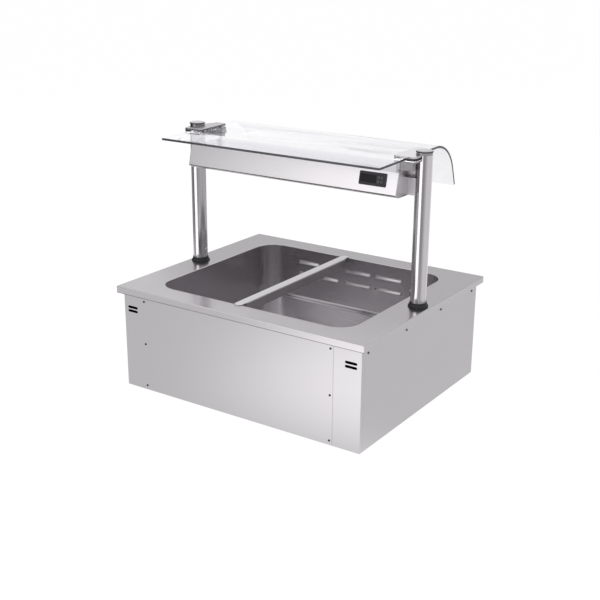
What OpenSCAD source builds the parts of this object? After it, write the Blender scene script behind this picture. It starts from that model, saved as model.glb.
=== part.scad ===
// Drop-in bain marie with a heated glass gantry.
// The base is a stainless deck with a down-turned skirt, a deep round-cornered well under it and a
// boxed casing round the well. Two tube posts stand on the deck and carry clamped glass, a lamp
// housing and its controller. X runs along the long face, Y from the operator to the customer and
// Z up. The origin is the middle of the underside.

/* [Deck] */
// Length of the deck, left to right
deck_l = 800; // [790:1:860]
// Width of the deck, front to back
deck_w = 670; // [660:1:720]
// Thickness of the deck sheet
deck_t = 1.5; // [1:0.1:2]
// Height of the down-turned skirt
skirt_h = 18; // [14:0.5:24]
// Width of the hem turned in under the skirt
skirt_hem = 7; // [4:0.5:9]
// Outer radius of the bend between deck and skirt
deck_bend_r = 2.5; // [2.2:0.1:3]
// Radius of the deck's corners seen from above
deck_corner_r = 4; // [3.5:0.5:8]

/* [Casing] */
// Height from the underside of the casing to the top of the deck
unit_h = 296; // [280:1:330]
// Distance that the casing stands in from the skirt
casing_inset = 15; // [13:0.5:18]
// Thickness of the casing sheets
casing_t = 1; // [0.8:0.1:1.5]
// Height of the up-turned rim of the base tray
tray_rim_h = 20; // [12:1:30]
// Gap left between sheets that lie beside each other
sheet_gap = 0.3; // [0.2:0.05:0.5]

/* [Service panel] */
// Distance of the panel from the casing's left end
panel_in_l = 65; // [60:1:85]
// Distance of the panel from the casing's right end
panel_in_r = 81; // [75:1:95]
// Height of the service panel's lower edge
panel_z0 = 3; // [2:0.5:8]
// Distance from the top of the deck down to the panel's upper edge
panel_top_drop = 24; // [22:1:28]
// Distance of the screws from the panel's side edges
panel_screw_in = 8; // [6:0.5:12]
// Width of the panel's margin round the access opening
panel_margin = 22; // [18:1:40]

/* [Vents and screws] */
// Length of a cooling slot in the front
vent_l = 30; // [20:1:34]
// Height of a cooling slot in the front
vent_h = 5; // [3:0.5:6]
// Distance between the two cooling slots
vent_pitch = 11; // [9:0.5:14]
// Distance of the slots' middle from the casing's ends
vent_in = 30; // [25:1:35]
// Depth of the upper slot's middle below the deck
vent_drop = 59; // [50:1:70]
// Diameter of the casing screws' heads
screw_head_d = 6; // [5:0.5:8]
// Height of the casing screws' heads
screw_head_h = 1.6; // [1:0.1:2.5]
// Diameter of the casing screws' shanks
screw_d = 3.5; // [3:0.5:4]
// Distance of the outer side screws from the casing's front and back
side_screw_in = 30.5; // [30:0.5:60]
// Depth of the side screws below the deck
side_screw_drop = 35; // [32:1:40]

/* [Well] */
// Width of the deck at the left and right of the well
deck_side = 89; // [86:0.5:95]
// Width of the deck in front of and behind the well
deck_edge = 67; // [63:0.5:75]
// Depth from the deck to the well's floor
well_depth = 162; // [120:1:170]
// Radius of the well's upright corners
well_r = 60; // [30:1:80]
// Radius between the well's walls and floor
well_fillet = 10; // [5:0.5:15]
// Thickness of the well's sheet
well_t = 1.2; // [1:0.1:1.5]
// Width of the rim that joins the well to the deck
well_rim = 12; // [8:0.5:14]

/* [Air slots] */
// Left end of the outer slot on the left
slot_a_x = -195; // [-200:1:-190]
// Length of the outer slot on the left
slot_a_l = 74; // [50:1:76]
// Left end of the inner slot on the left
slot_b_x = -107; // [-110:1:-104]
// Length of the inner slot on the left
slot_b_l = 57; // [40:1:60]
// Left end of the inner slot on the right
slot_c_x = -26; // [-30:1:-20]
// Length of the two slots on the right
slot_cd_l = 89; // [70:1:92]
// Left end of the outer slot on the right
slot_d_x = 80; // [76:1:86]
// Height of a slot
slot_h = 9; // [6:0.5:10]
// Depth of the upper row's middle below the deck
slot_row1_drop = 43; // [38:1:48]
// Depth of the lower row's middle below the deck
slot_row2_drop = 81; // [70:1:90]

/* [Support bar] */
// Width of the support bar
bar_w = 28; // [20:1:32]
// Depth of the support bar's sides
bar_h = 25; // [15:1:30]
// Thickness of the support bar's sheet
bar_t = 1.5; // [1:0.1:2]
// Middle of the support bar, as it was left
bar_x = -27; // [-60:1:60]
// Width of the tongue at each end of the bar
bar_tongue_w = 24; // [18:1:26]
// Width of a tongue's tip
bar_tip_w = 14; // [8:1:16]
// Distance that a tongue lies over the deck
bar_tongue_over = 8; // [6:0.5:12]
// Distance between the bar's sides and the well's wall
bar_end_gap = 20; // [10:1:25]
// Free height between the tongues and the deck
bar_lift = 0.25; // [0.15:0.05:0.5]

/* [Hot air unit] */
// Left end of the air duct
duct_x0 = -215; // [-225:1:-210]
// Right end of the air duct
duct_x1 = 190; // [180:1:200]
// Thickness of the duct's sheet
duct_t = 1; // [0.8:0.1:1.5]
// Depth of the duct's floor below the deck
duct_drop = 232; // [215:1:240]
// Diameter of the fan wheel
fan_d = 36; // [30:1:38]
// Length of the bladed part of the fan wheel
fan_l = 280; // [200:1:290]
// Number of blades on the fan wheel
fan_blades = 16; // [12:1:20]
// Thickness of a fan blade
fan_blade_t = 0.8; // [0.6:0.1:1.2]
// Diameter of the fan's shaft
fan_shaft_d = 6; // [5:0.5:8]
// Diameter of the fan motor
motor_d = 34; // [28:1:38]
// Length of the fan motor
motor_l = 42; // [30:1:44]
// Diameter of the air heater's tube
air_heater_d = 8; // [6:0.5:10]
// Diameter of the air heater's fins
fin_d = 19; // [14:0.5:20]
// Distance between fins
fin_pitch = 14; // [10:1:20]
// Thickness of a fin
fin_t = 0.8; // [0.6:0.1:1.2]

/* [Underside] */
// Diameter of the heating element under the well
element_d = 8; // [6:0.5:9]
// Number of straight runs of the heating element
element_runs = 6; // [4:2:8]
// Distance between neighbouring runs
element_pitch = 60; // [50:1:64]
// Length of a straight run
element_run_l = 400; // [300:5:420]
// Thickness of the insulation slab
insulation_t = 20; // [10:1:30]
// Outer diameter of the drain's outlet
drain_d = 26.4; // [20:0.1:27]
// Bore that takes the drain pipe, at the base
drain_bore = 20; // [16:0.5:21]
// Length of the bore that takes the drain pipe
drain_socket = 22; // [18:1:30]
// Distance of the drain from the well's right wall
drain_in_x = 61; // [50:1:66]
// Distance of the drain from the well's wall on the operator's side
drain_in_y = 78; // [72:1:88]
// Diameter of the cable gland's bore
gland_bore = 12; // [8:0.5:14]
// Distance of the cable gland from the casing's right end
gland_in = 85; // [60:1:120]
// Height of the cable gland above the base
gland_h = 60; // [40:1:90]

/* [Terminal box] */
// Length of the terminal box
box_l = 150; // [120:1:160]
// Width of the terminal box
box_w = 90; // [70:1:95]
// Height of the terminal box without its lid
box_h = 52; // [40:1:56]
// Thickness of the terminal box's lid
box_lid_t = 8; // [5:0.5:10]

/* [Posts] */
// Diameter of the posts
post_d = 42.4; // [38:0.1:44]
// Wall of the posts
post_wall = 1.5; // [1:0.1:3]
// Distance of the posts' middles from the deck's ends
post_in = 33; // [30:0.5:36]
// Place of the posts, front to back
post_y = -5; // [-10:0.5:0]
// Height of the posts above the deck
post_h = 403.5; // [398:0.5:406]
// Outer diameter of the rubber foot rings
foot_d = 54; // [50:0.5:58]
// Height of the rubber foot rings
foot_h = 12; // [8:0.5:16]
// Diameter of the posts' fixing bolts
post_bolt_d = 10; // [8:1:12]
// Height of the locking screws above the deck
lock_screw_h = 38; // [30:1:45]
// Diameter of the posts' caps
cap_d = 43; // [42.6:0.1:46]
// Thickness of the posts' caps
cap_h = 4.5; // [3:0.5:6]
// Height of the neck that shows under a cap
cap_neck_h = 6; // [4:0.5:8]

/* [Glass] */
// Distance of the glass's ends from the posts' middles
glass_in = 24.5; // [24:0.5:30]
// Thickness of the glass
glass_t = 6; // [5:0.5:8]
// Reach of the flat glass in front of the posts
glass_front = 184; // [150:1:200]
// Reach of the flat glass behind the posts
glass_back = 116; // [90:1:130]
// Radius of the bend, at the middle of the glass
glass_bend_r = 103.6; // [80:0.1:115]
// Angle through which the glass turns down
glass_turn = 72.5; // [60:0.5:80]
// Length of the straight glass below the bend
glass_skirt = 53; // [30:1:60]
// Slope of the glass, rising to the back
glass_tilt = 1.25; // [0:0.05:2]
// Distance from the posts' tops down to the glass's underside
glass_drop = 9.1; // [7.5:0.1:13]

/* [Clamps] */
// Thickness of the clamp plates
clamp_t = 4; // [3:0.5:5]
// Thickness of the rubber between glass and plates
gasket_t = 1; // [0.8:0.1:1.5]
// Distance from the posts' middles in to the plates' inner edge
clamp_in = 58; // [55:1:66]
// Distance from the posts' middles out to the plates' outer edge
clamp_out = 4; // [1:0.5:9]
// Reach of the plates in front of the posts
clamp_front = 57; // [50:1:60]
// Reach of the plates behind the posts
clamp_back = 61; // [50:1:64]
// Width of the plates' back end
clamp_back_w = 36; // [30:1:40]
// Radius of the plates' outer front corner
clamp_r = 12; // [8:1:16]
// Gap between plates and posts
clamp_gap = 0.3; // [0.2:0.05:0.5]
// Diameter of the clamp studs
stud_d = 6; // [5:0.5:8]
// Distance of the studs from the post's middle, front and back
stud_dy = 39; // [34:1:42]
// Distance of the studs from the plates' inner edge
stud_in = 6; // [5.5:0.5:8]

/* [Lamp housing] */
// Length of the hanger blocks between the housing and the posts
hanger_l = 11.8; // [11:0.1:20]
// Thickness of the housing's sheet
housing_t = 1.2; // [1:0.1:1.5]
// Half of the housing's width at the top
housing_top = 68.4; // [60:0.2:72]
// Half of the housing's width where it is widest
housing_wide = 81.8; // [76:0.2:86]
// Half of the housing's width at the lips
housing_lip = 66.2; // [58:0.2:70]
// Distance from the posts' tops down to the housing's top face
housing_drop = 39.9; // [38:0.1:43]
// Height of the housing's face, from the widest line to the top
housing_face_h = 57.9; // [54:0.1:60]
// Height of the housing's lips, below the widest line
housing_lip_h = 7.3; // [5:0.1:9]
// Diameter of a lamp's quartz tube
lamp_d = 11; // [8:0.5:12]
// Free length between one lamp and the next
lamp_gap = 45; // [40:1:80]
// Width of the reflector at its lower edges
reflector_w = 92; // [80:1:100]
// Width of the reflector's flat top
reflector_top_w = 48; // [40:1:56]
// Height of the reflector
reflector_h = 28; // [24:0.5:30]
// Width of a lamp holder
holder_w = 18; // [16:0.5:20]
// Width of the hanger blocks, front to back
hanger_w = 48; // [40:1:54]
// Height of the hanger blocks
hanger_h = 45; // [36:1:48]
// Distance that the hanger blocks and the clamps' risers reach round the posts
post_wrap = 10; // [6:1:14]

/* [Controller] */
// Width of the controller's front
ctrl_w = 77.5; // [74:0.1:80]
// Height of the controller's front
ctrl_h = 34.7; // [32:0.1:36]
// Thickness of the controller's front
ctrl_t = 3; // [2:0.5:4]
// Depth of the controller's case behind the front
ctrl_depth = 52; // [40:1:56]
// Distance of the controller's middle from the housing's right end
ctrl_in = 72; // [66:1:84]
// Distance from the housing's widest line up the face to the controller's middle
ctrl_up = 35.7; // [34:0.1:38]
// Width of the display window
window_w = 47; // [40:0.5:50]
// Height of the display window
window_h = 20.5; // [16:0.5:24]
// Width of a key
key_w = 7.5; // [6:0.1:8]
// Height of a key
key_h = 8; // [6:0.1:9]
// Distance between the keys' middles, side to side
key_dx = 9.5; // [9:0.1:10]
// Distance between the keys' middles, up and down
key_dy = 10.5; // [10:0.1:12]
// Height that a key stands out of the front
key_proud = 1; // [0.8:0.1:1.5]
// Gap round a key
key_gap = 0.3; // [0.25:0.05:0.4]
// Travel of a key
key_travel = 0.6; // [0.4:0.1:0.7]

/* [Hidden] */
$fn = 48;
eps = 0.01;

steel = [0.78, 0.79, 0.80];
bright_steel = [0.88, 0.89, 0.90];
dark_steel = [0.45, 0.46, 0.48];
black = [0.12, 0.12, 0.13];

deck_z = unit_h;
deck_under_z = deck_z - deck_t;
casing_x = deck_l / 2 - casing_inset;
casing_y = deck_w / 2 - casing_inset;
casing_top_z = deck_under_z - sheet_gap;
floor_z = deck_z - well_depth;
well_l = deck_l - 2 * deck_side;
well_w = deck_w - 2 * deck_edge;
drain_x = well_l / 2 - drain_in_x;
drain_y = well_w / 2 - drain_in_y;
panel_x0 = -casing_x + panel_in_l;
panel_x1 = casing_x - panel_in_r;
vent_x = casing_x - vent_in;
side_screw_pitch = 2 * (casing_y - side_screw_in) / 3;
post_x = deck_l / 2 - post_in;
glass_l = 2 * (post_x - glass_in);
clamp_x0 = post_x - clamp_in;
clamp_x1 = post_x + clamp_out;
housing_l = 2 * (post_x - post_d / 2 - hanger_l);
ctrl_x = housing_l / 2 - ctrl_in;
glass_h = post_h - glass_drop;
housing_z2 = post_h - housing_drop;
housing_z1 = housing_z2 - housing_face_h;
housing_z0 = housing_z1 - housing_lip_h;

// Flat outlines

module rounded_rect(l, w, r) {
    square([l - 2 * r, w], center = true);
    square([l, w - 2 * r], center = true);
    for (sx = [-1, 1], sy = [-1, 1])
        translate([sx * (l / 2 - r), sy * (w / 2 - r)]) circle(r);
}

module rect_between(x0, x1, y0, y1, r) {
    translate([(x0 + x1) / 2, (y0 + y1) / 2]) rounded_rect(x1 - x0, y1 - y0, r);
}

// A slot with round ends, lying along X
module slot_outline(l, h) {
    square([l - h, h], center = true);
    for (s = [-1, 1]) translate([s * (l - h) / 2, 0]) circle(d = h);
}

// Runs a section round a rectangle with round corners. In the section, x is the distance
// outwards from the corners' centres and y is the height.
module sweep_round_rect(l, w, r) {
    cx = l / 2 - r;
    cy = w / 2 - r;
    for (corner = [[1, 1, 0], [-1, 1, 90], [-1, -1, 180], [1, -1, 270]])
        translate([corner[0] * cx, corner[1] * cy, 0])
            rotate([0, 0, corner[2]]) rotate_extrude(angle = 90) children();
    for (s = [0, 1]) {
        mirror([0, s, 0]) translate([-cx, cy, 0])
            rotate([90, 0, 90]) linear_extrude(2 * cx) children();
        mirror([s, 0, 0]) translate([cx, cy, 0])
            rotate([90, 0, 0]) linear_extrude(2 * cy) children();
    }
}

// A quarter of a ring, from the x axis round to the y axis
module quarter_ring(r_out, t) {
    intersection() {
        difference() {
            circle(r_out);
            circle(r_out - t);
        }
        square(r_out + 1);
    }
}

module at_posts() {
    for (s = [-1, 1]) translate([s * post_x, post_y, deck_z]) children();
}

module both_sides() {
    children();
    mirror([1, 0, 0]) children();
}

// Deck and well

module deck_section() {
    translate([0, -deck_t]) square([deck_corner_r - deck_bend_r, deck_t]);
    translate([deck_corner_r - deck_bend_r, -deck_bend_r]) quarter_ring(deck_bend_r, deck_t);
    translate([deck_corner_r - deck_t, -skirt_h]) square([deck_t, skirt_h - deck_bend_r]);
}

module deck() {
    skirt_in_l = deck_l - 2 * deck_t;
    skirt_in_w = deck_w - 2 * deck_t;
    color(steel) difference() {
        union() {
            translate([0, 0, deck_z]) sweep_round_rect(deck_l, deck_w, deck_corner_r) deck_section();
            translate([0, 0, deck_under_z]) linear_extrude(deck_t) difference() {
                square([deck_l - 2 * deck_corner_r, deck_w - 2 * deck_corner_r], center = true);
                rounded_rect(well_l, well_w, well_r);
            }
            translate([0, 0, deck_z - skirt_h]) linear_extrude(deck_t) difference() {
                square([skirt_in_l + deck_t, skirt_in_w + deck_t], center = true);
                square([skirt_in_l - 2 * skirt_hem, skirt_in_w - 2 * skirt_hem], center = true);
            }
        }
        at_posts() cylinder(d = post_bolt_d + 1, h = 20, center = true);
    }
}

module well_section() {
    wall_h = well_depth - deck_t;
    translate([0, -well_t]) square([well_r - well_fillet, well_t]);
    translate([well_r - well_fillet, well_fillet]) mirror([0, 1])
        quarter_ring(well_fillet + well_t, well_t);
    translate([well_r, well_fillet]) square([well_t, wall_h - well_fillet]);
    translate([well_r, wall_h - well_t]) square([well_rim, well_t]);
}

module air_slots(h) {
    for (drop = [slot_row1_drop, slot_row2_drop])
        for (s = [[slot_a_x, slot_a_l], [slot_b_x, slot_b_l], [slot_c_x, slot_cd_l], [slot_d_x, slot_cd_l]])
            translate([s[0] + s[1] / 2, well_w / 2, deck_z - drop])
                rotate([90, 0, 0]) linear_extrude(h, center = true) slot_outline(s[1], slot_h);
}

module well_tank() {
    color(dark_steel) difference() {
        union() {
            translate([0, 0, floor_z]) sweep_round_rect(well_l, well_w, well_r) well_section();
            translate([0, 0, floor_z - well_t / 2])
                cube([well_l - 2 * well_r, well_w - 2 * well_r, well_t], center = true);
        }
        air_slots(6 * well_t);
        translate([drain_x, -drain_y, floor_z]) cylinder(d = drain_d + 1, h = 10, center = true);
    }
}

// An upside-down channel with a tongue at each end that lies on the deck
module support_bar() {
    tongue_l = well_w + 2 * bar_tongue_over;
    side_l = well_w - 2 * bar_end_gap;
    color(bright_steel) translate([bar_x, 0, deck_z + bar_lift]) {
        linear_extrude(bar_t) {
            for (s = [0, 1]) mirror([0, s]) polygon([
                [-bar_tongue_w / 2, 0], [bar_tongue_w / 2, 0], [bar_tongue_w / 2, well_w / 2 - 2],
                [bar_tip_w / 2, tongue_l / 2], [-bar_tip_w / 2, tongue_l / 2],
                [-bar_tongue_w / 2, well_w / 2 - 2]]);
            square([bar_w, side_l], center = true);
        }
        for (s = [-1, 1])
            translate([s * (bar_w - bar_t) / 2, 0, (bar_t - bar_h) / 2])
                cube([bar_t, side_l, bar_h + bar_t], center = true);
    }
}

// Casing

panel_z1 = deck_z - panel_top_drop;
panel_cx = (panel_x0 + panel_x1) / 2;
panel_cz = (panel_z0 + panel_z1) / 2;
flange_w = 14;
top_flange_w = 10;

module front_screw_places() {
    z_in = 10;
    for (x = [panel_x0 + panel_screw_in, panel_x1 - panel_screw_in])
        for (z = [panel_z0 + z_in, panel_cz, panel_z1 - z_in])
            translate([x, -casing_y, z]) rotate([90, 0, 0]) children();
}

module side_screw_places() {
    for (sx = [-1, 1], i = [-1.5 : 1.5])
        translate([sx * casing_x, i * side_screw_pitch, deck_z - side_screw_drop])
            rotate([0, sx * 90, 0]) children();
}

module front_casing() {
    color(steel) difference() {
        union() {
            translate([-casing_x, -casing_y, 0]) cube([2 * casing_x, casing_t, casing_top_z]);
            for (s = [0, 1]) mirror([s, 0, 0])
                translate([casing_x - casing_t, -casing_y, 0]) cube([casing_t, flange_w, casing_top_z]);
        }
        translate([panel_x0 + panel_margin, -casing_y - 1, panel_z0 + panel_margin])
            cube([panel_x1 - panel_x0 - 2 * panel_margin, 10, panel_z1 - panel_z0 - 2 * panel_margin]);
        for (s = [-1, 1], i = [0, 1])
            translate([s * vent_x, -casing_y, deck_z - vent_drop - i * vent_pitch])
                rotate([90, 0, 0]) linear_extrude(10, center = true) slot_outline(vent_l, vent_h);
        front_screw_places() cylinder(d = screw_d, h = 20, center = true);
    }
}

module service_panel() {
    color(bright_steel) difference() {
        translate([panel_x0, -casing_y - casing_t, panel_z0])
            cube([panel_x1 - panel_x0, casing_t, panel_z1 - panel_z0]);
        front_screw_places() cylinder(d = screw_d, h = 20, center = true);
    }
}

// A pan-head screw with its underside at z = 0
module pan_screw(shank_l) {
    rotate_extrude() {
        translate([0, -shank_l]) square([screw_d / 2 - 0.05, shank_l]);
        polygon([[0, 0], [screw_head_d / 2, 0], [screw_head_d / 2, screw_head_h / 2],
            [screw_head_d / 2 - screw_head_h / 2, screw_head_h], [0, screw_head_h]]);
    }
}

module service_panel_screws() {
    color(bright_steel) front_screw_places() translate([0, 0, casing_t]) pan_screw(8);
}

module side_screws() {
    color(bright_steel) side_screw_places() pan_screw(8);
}

module side_casing() {
    difference() {
        union() {
            translate([casing_x - casing_t, -casing_y + flange_w + sheet_gap, 0])
                cube([casing_t, 2 * (casing_y - flange_w - sheet_gap), casing_top_z]);
            translate([casing_x - casing_t - top_flange_w, -casing_y + flange_w + sheet_gap, casing_top_z - casing_t])
                cube([top_flange_w + eps, 2 * (casing_y - flange_w - sheet_gap), casing_t]);
        }
        side_screw_places() cylinder(d = screw_d, h = 20, center = true);
    }
}

module right_casing() { color(steel) side_casing(); }
module left_casing() { color(steel) mirror([1, 0, 0]) side_casing(); }

module back_casing() {
    color(steel) difference() {
        union() {
            translate([-casing_x, casing_y - casing_t, 0]) cube([2 * casing_x, casing_t, casing_top_z]);
            for (s = [0, 1]) mirror([s, 0, 0])
                translate([casing_x - casing_t, casing_y - flange_w, 0]) cube([casing_t, flange_w, casing_top_z]);
        }
        gland_place() cylinder(d = gland_thread_d + 0.5, h = 20, center = true);
    }
}

tray_l = 2 * (casing_x - casing_t - sheet_gap);
tray_w = 2 * (casing_y - casing_t - sheet_gap);

module base_tray() {
    color(steel) difference() {
        translate([-tray_l / 2, -tray_w / 2, 0]) cube([tray_l, tray_w, tray_rim_h]);
        translate([-tray_l / 2 + casing_t, -tray_w / 2 + casing_t, casing_t])
            cube([tray_l - 2 * casing_t, tray_w - 2 * casing_t, tray_rim_h]);
        translate([drain_x, -drain_y, 0]) cylinder(d = drain_d + 1, h = 20, center = true);
        front_screw_places() cylinder(d = screw_d, h = 20, center = true);
    }
}

// Channels under the deck that take the load of the posts
bearer_x0 = well_l / 2 + well_t + well_rim + 1;
bearer_x1 = casing_x - casing_t - sheet_gap;
bearer_h = side_screw_drop + 12;
bearer_t = 2;

module bearer() {
    bearer_y = casing_y - casing_t - flange_w - 6;
    z1 = deck_under_z - sheet_gap - casing_t - sheet_gap;
    difference() {
        translate([bearer_x0, -bearer_y, z1 - bearer_h]) cube([bearer_x1 - bearer_x0, 2 * bearer_y, bearer_h]);
        translate([bearer_x0 + bearer_t, -bearer_y - 1, z1 - bearer_h - 1])
            cube([bearer_x1 - bearer_x0 - 2 * bearer_t, 2 * bearer_y + 2, bearer_h + 1 - bearer_t]);
        translate([post_x, post_y, z1]) cylinder(d = post_bolt_d + 1, h = 20, center = true);
        side_screw_places() cylinder(d = screw_d, h = 20, center = true);
    }
}

module right_bearer() { color(dark_steel) bearer(); }
module left_bearer() { color(dark_steel) mirror([1, 0, 0]) bearer(); }

// Hot air unit behind the well's back wall

duct_y0 = well_w / 2 + well_t;
duct_y1 = casing_y - casing_t - 2;
duct_z0 = deck_z - duct_drop;
duct_z1 = deck_z - slot_row1_drop + slot_h / 2 + 8;
fan_y = (duct_y0 + duct_y1) / 2;
fan_z = duct_z0 + duct_t + fan_d / 2 + 8;
fan_x0 = duct_x0 + duct_t + motor_l + 16;

module air_duct() {
    color(steel) difference() {
        translate([duct_x0, duct_y0, duct_z0]) cube([duct_x1 - duct_x0, duct_y1 - duct_y0, duct_z1 - duct_z0]);
        translate([duct_x0 + duct_t, duct_y0 - 1, duct_z0 + duct_t])
            cube([duct_x1 - duct_x0 - 2 * duct_t, duct_y1 - duct_y0 + 1 - duct_t, duct_z1 - duct_z0 - 2 * duct_t]);
    }
}

// Keeps the blown air apart from the returning air and carries the wheel's outer bearing
module duct_baffle() {
    z1 = deck_z - (slot_row1_drop + slot_row2_drop) / 2;
    z0 = fan_z + fan_d / 2 + 3;
    x0 = duct_x0 + duct_t + sheet_gap;
    color(steel) {
        difference() {
            translate([fan_x0 + fan_l + 2, fan_y - 9, duct_z0 + duct_t + 0.1])
                cube([3, 18, z0 - duct_z0 - duct_t + 2]);
            translate([fan_x0 + fan_l, fan_y, fan_z]) rotate([0, 90, 0])
                cylinder(d = fan_shaft_d + 2 * sheet_gap, h = 10);
        }
        translate([x0, duct_y0 + sheet_gap, z1 - duct_t])
            cube([duct_x1 - duct_x0 - 2 * (duct_t + sheet_gap), fan_y - duct_y0 - sheet_gap, duct_t]);
        translate([x0, fan_y - duct_t, z0])
            cube([duct_x1 - duct_x0 - 2 * (duct_t + sheet_gap), duct_t, z1 - z0]);
    }
}

// A crossflow wheel: curved blades between end discs, on a shaft that runs along X
module fan_wheel() {
    disc_t = 2;
    blade_r = fan_d / 6;
    color(black) translate([fan_x0, fan_y, fan_z]) rotate([0, 90, 0]) {
        for (z = [0, fan_l / 2 - disc_t / 2, fan_l - disc_t]) translate([0, 0, z])
            linear_extrude(disc_t) difference() {
                circle(d = fan_d);
                if (z == fan_l / 2 - disc_t / 2) circle(d = fan_d * 0.6);
            }
        linear_extrude(fan_l) for (i = [0 : fan_blades - 1]) rotate(i * 360 / fan_blades)
            translate([fan_d / 2 - blade_r, 0]) intersection() {
                translate([0, -blade_r + fan_blade_t]) difference() {
                    circle(blade_r);
                    circle(blade_r - fan_blade_t);
                }
                square(blade_r - 0.4);
            }
        translate([0, 0, -26]) cylinder(d = fan_shaft_d, h = 26 + disc_t / 2);
        translate([0, 0, fan_l - disc_t / 2]) cylinder(d = fan_shaft_d, h = 8);
    }
}

module fan_motor() {
    color(dark_steel) translate([fan_x0 - 16, fan_y, fan_z]) rotate([0, -90, 0]) {
        difference() {
            union() {
                cylinder(d = motor_d, h = motor_l - 6);
                cylinder(d = motor_d * 0.5, h = motor_l - 2);
                translate([-fan_d / 2 - 8, -motor_d / 2, 0]) cube([fan_d / 2 + 8, motor_d, 3]);
            }
            translate([0, 0, -1]) cylinder(d = fan_shaft_d + 2 * sheet_gap, h = 15);
        }
    }
}

// Two finned rods joined by a bend, in the rising air
module air_heater() {
    rod_l = duct_x1 - duct_x0 - 90;
    rod_dz = fin_d + 6;
    rod_y = (fan_y + duct_y1 - duct_t) / 2;
    rod_z = fan_z + fan_d / 2 + 24;
    x0 = duct_x0 + duct_t + sheet_gap;
    color(dark_steel) translate([x0, rod_y, rod_z]) {
        for (i = [0, 1]) translate([0, 0, i * rod_dz]) rotate([0, 90, 0]) {
            cylinder(d = air_heater_d, h = rod_l + 20);
            for (k = [0 : floor((rod_l - 20) / fin_pitch)])
                translate([0, 0, 30 + k * fin_pitch]) cylinder(d = fin_d, h = fin_t);
        }
        translate([rod_l + 20, 0, rod_dz / 2]) rotate([90, 0, 0]) rotate([0, 0, -90])
            rotate_extrude(angle = 180) translate([rod_dz / 2, 0]) circle(d = air_heater_d);
    }
}

// Under the well

element_z = floor_z - well_t - 0.3 - element_d / 2;
slab_z1 = element_z - element_d / 2 - 0.3;
element_y0 = -(element_runs - 1) * element_pitch / 2;

// A rod bent to and fro under the well's floor
module floor_element() {
    tail = 25;
    color(dark_steel) translate([0, 0, element_z]) {
        for (i = [0 : element_runs - 1])
            translate([-element_run_l / 2, element_y0 + i * element_pitch, 0])
                rotate([0, 90, 0]) cylinder(d = element_d, h = element_run_l);
        for (i = [0 : element_runs - 2]) {
            side = i % 2 == 0 ? 1 : -1;
            translate([side * element_run_l / 2, element_y0 + (i + 0.5) * element_pitch, 0])
                rotate([0, 0, side > 0 ? -90 : 90])
                    rotate_extrude(angle = 180) translate([element_pitch / 2, 0]) circle(d = element_d);
        }
        for (i = [0, element_runs - 1])
            translate([-element_run_l / 2 - tail, element_y0 + i * element_pitch, 0])
                rotate([0, 90, 0]) cylinder(d = element_d, h = tail + 1);
    }
}

// Straps that hold the element up against the floor, with their ends welded to it
module element_clips() {
    strap_l = -2 * element_y0 + 40;
    color(steel) for (x = [-0.3, 0.3] * element_run_l) translate([x - 8, -strap_l / 2, slab_z1 - 1]) {
        cube([16, strap_l, 1.2]);
        for (y = [0, strap_l - 1.2]) translate([0, y, 0]) cube([16, 1.2, floor_z - well_t - slab_z1 + 1]);
    }
}

module insulation_slab() {
    slab_top = slab_z1 - 1.2;
    color("khaki") difference() {
        translate([0, 0, slab_top - insulation_t]) linear_extrude(insulation_t)
            rounded_rect(well_l - 20, well_w - 20, well_r - 10);
        translate([drain_x, -drain_y, slab_top]) cylinder(d = drain_d + 10, h = 3 * insulation_t, center = true);
    }
}

// A flanged cup through the well's floor with its outlet at the base
module drain_outlet() {
    outlet_l = floor_z;
    color(bright_steel) translate([drain_x, -drain_y, 0]) difference() {
        union() {
            cylinder(d = drain_d, h = outlet_l);
            translate([0, 0, outlet_l + 0.2]) cylinder(d = drain_d + 14, h = 1.5);
            translate([0, 0, outlet_l - eps]) cylinder(d = drain_d, h = 0.3);
            translate([0, 0, outlet_l - well_t - 6.3]) cylinder(d = drain_d + 10, h = 6, $fn = 6);
        }
        translate([0, 0, -1]) cylinder(d = drain_bore - 4, h = outlet_l + 10);
        translate([0, 0, -1]) cylinder(d = drain_bore, h = drain_socket + 1);
    }
}

module drain_strainer() {
    color(bright_steel) translate([drain_x, -drain_y, floor_z + 1.9]) linear_extrude(1) difference() {
        circle(d = drain_d + 8);
        for (ring = [[0, 1], [5, 6], [9.5, 12]], i = [0 : ring[1] - 1])
            rotate(i * 360 / ring[1]) translate([ring[0], 0]) circle(d = 3, $fn = 24);
    }
}

box_x0 = -250;
box_y0 = -200;
module terminal_box() {
    color("lightgray") translate([box_x0, box_y0, casing_t + 0.2]) {
        cube([box_l, box_w, box_h]);
        translate([-2, -2, box_h]) cube([box_l + 4, box_w + 4, box_lid_t]);
        for (x = [0.2, 0.5, 0.8] * box_l)
            translate([x, box_w, box_h / 2 + 2]) rotate([-90, 0, 0]) cylinder(d = 16, h = 8, $fn = 6);
    }
}

gland_thread_d = gland_bore + 8;
module gland_place() {
    translate([casing_x - gland_in, casing_y, gland_h]) rotate([-90, 0, 0]) children();
}

// The inlet for the supply cord, in the back of the casing
module cable_gland() {
    color(black) gland_place() difference() {
        union() {
            cylinder(d = gland_thread_d + 8, h = 6, $fn = 6);
            translate([0, 0, 6]) cylinder(d = gland_thread_d + 4, h = 7);
            translate([0, 0, -12]) cylinder(d = gland_thread_d, h = 13);
            translate([0, 0, -casing_t - 5.2]) cylinder(d = gland_thread_d + 8, h = 5, $fn = 6);
        }
        translate([0, 0, -20]) cylinder(d = gland_bore, h = 40);
    }
}

// A cut-out on a bracket beside the terminal box
module safety_thermostat() {
    color(black) translate([box_x0 + box_l + 30, box_y0 + box_w / 2, casing_t + 0.2]) {
        difference() {
            translate([-16, -20, 0]) cube([32, 40, 34]);
            translate([-14, -21, 2]) cube([28, 42, 26]);
        }
        translate([0, 0, 34]) cylinder(d = 26, h = 14);
        translate([0, 0, 48]) cylinder(d = 8, h = 6);
    }
}

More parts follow.
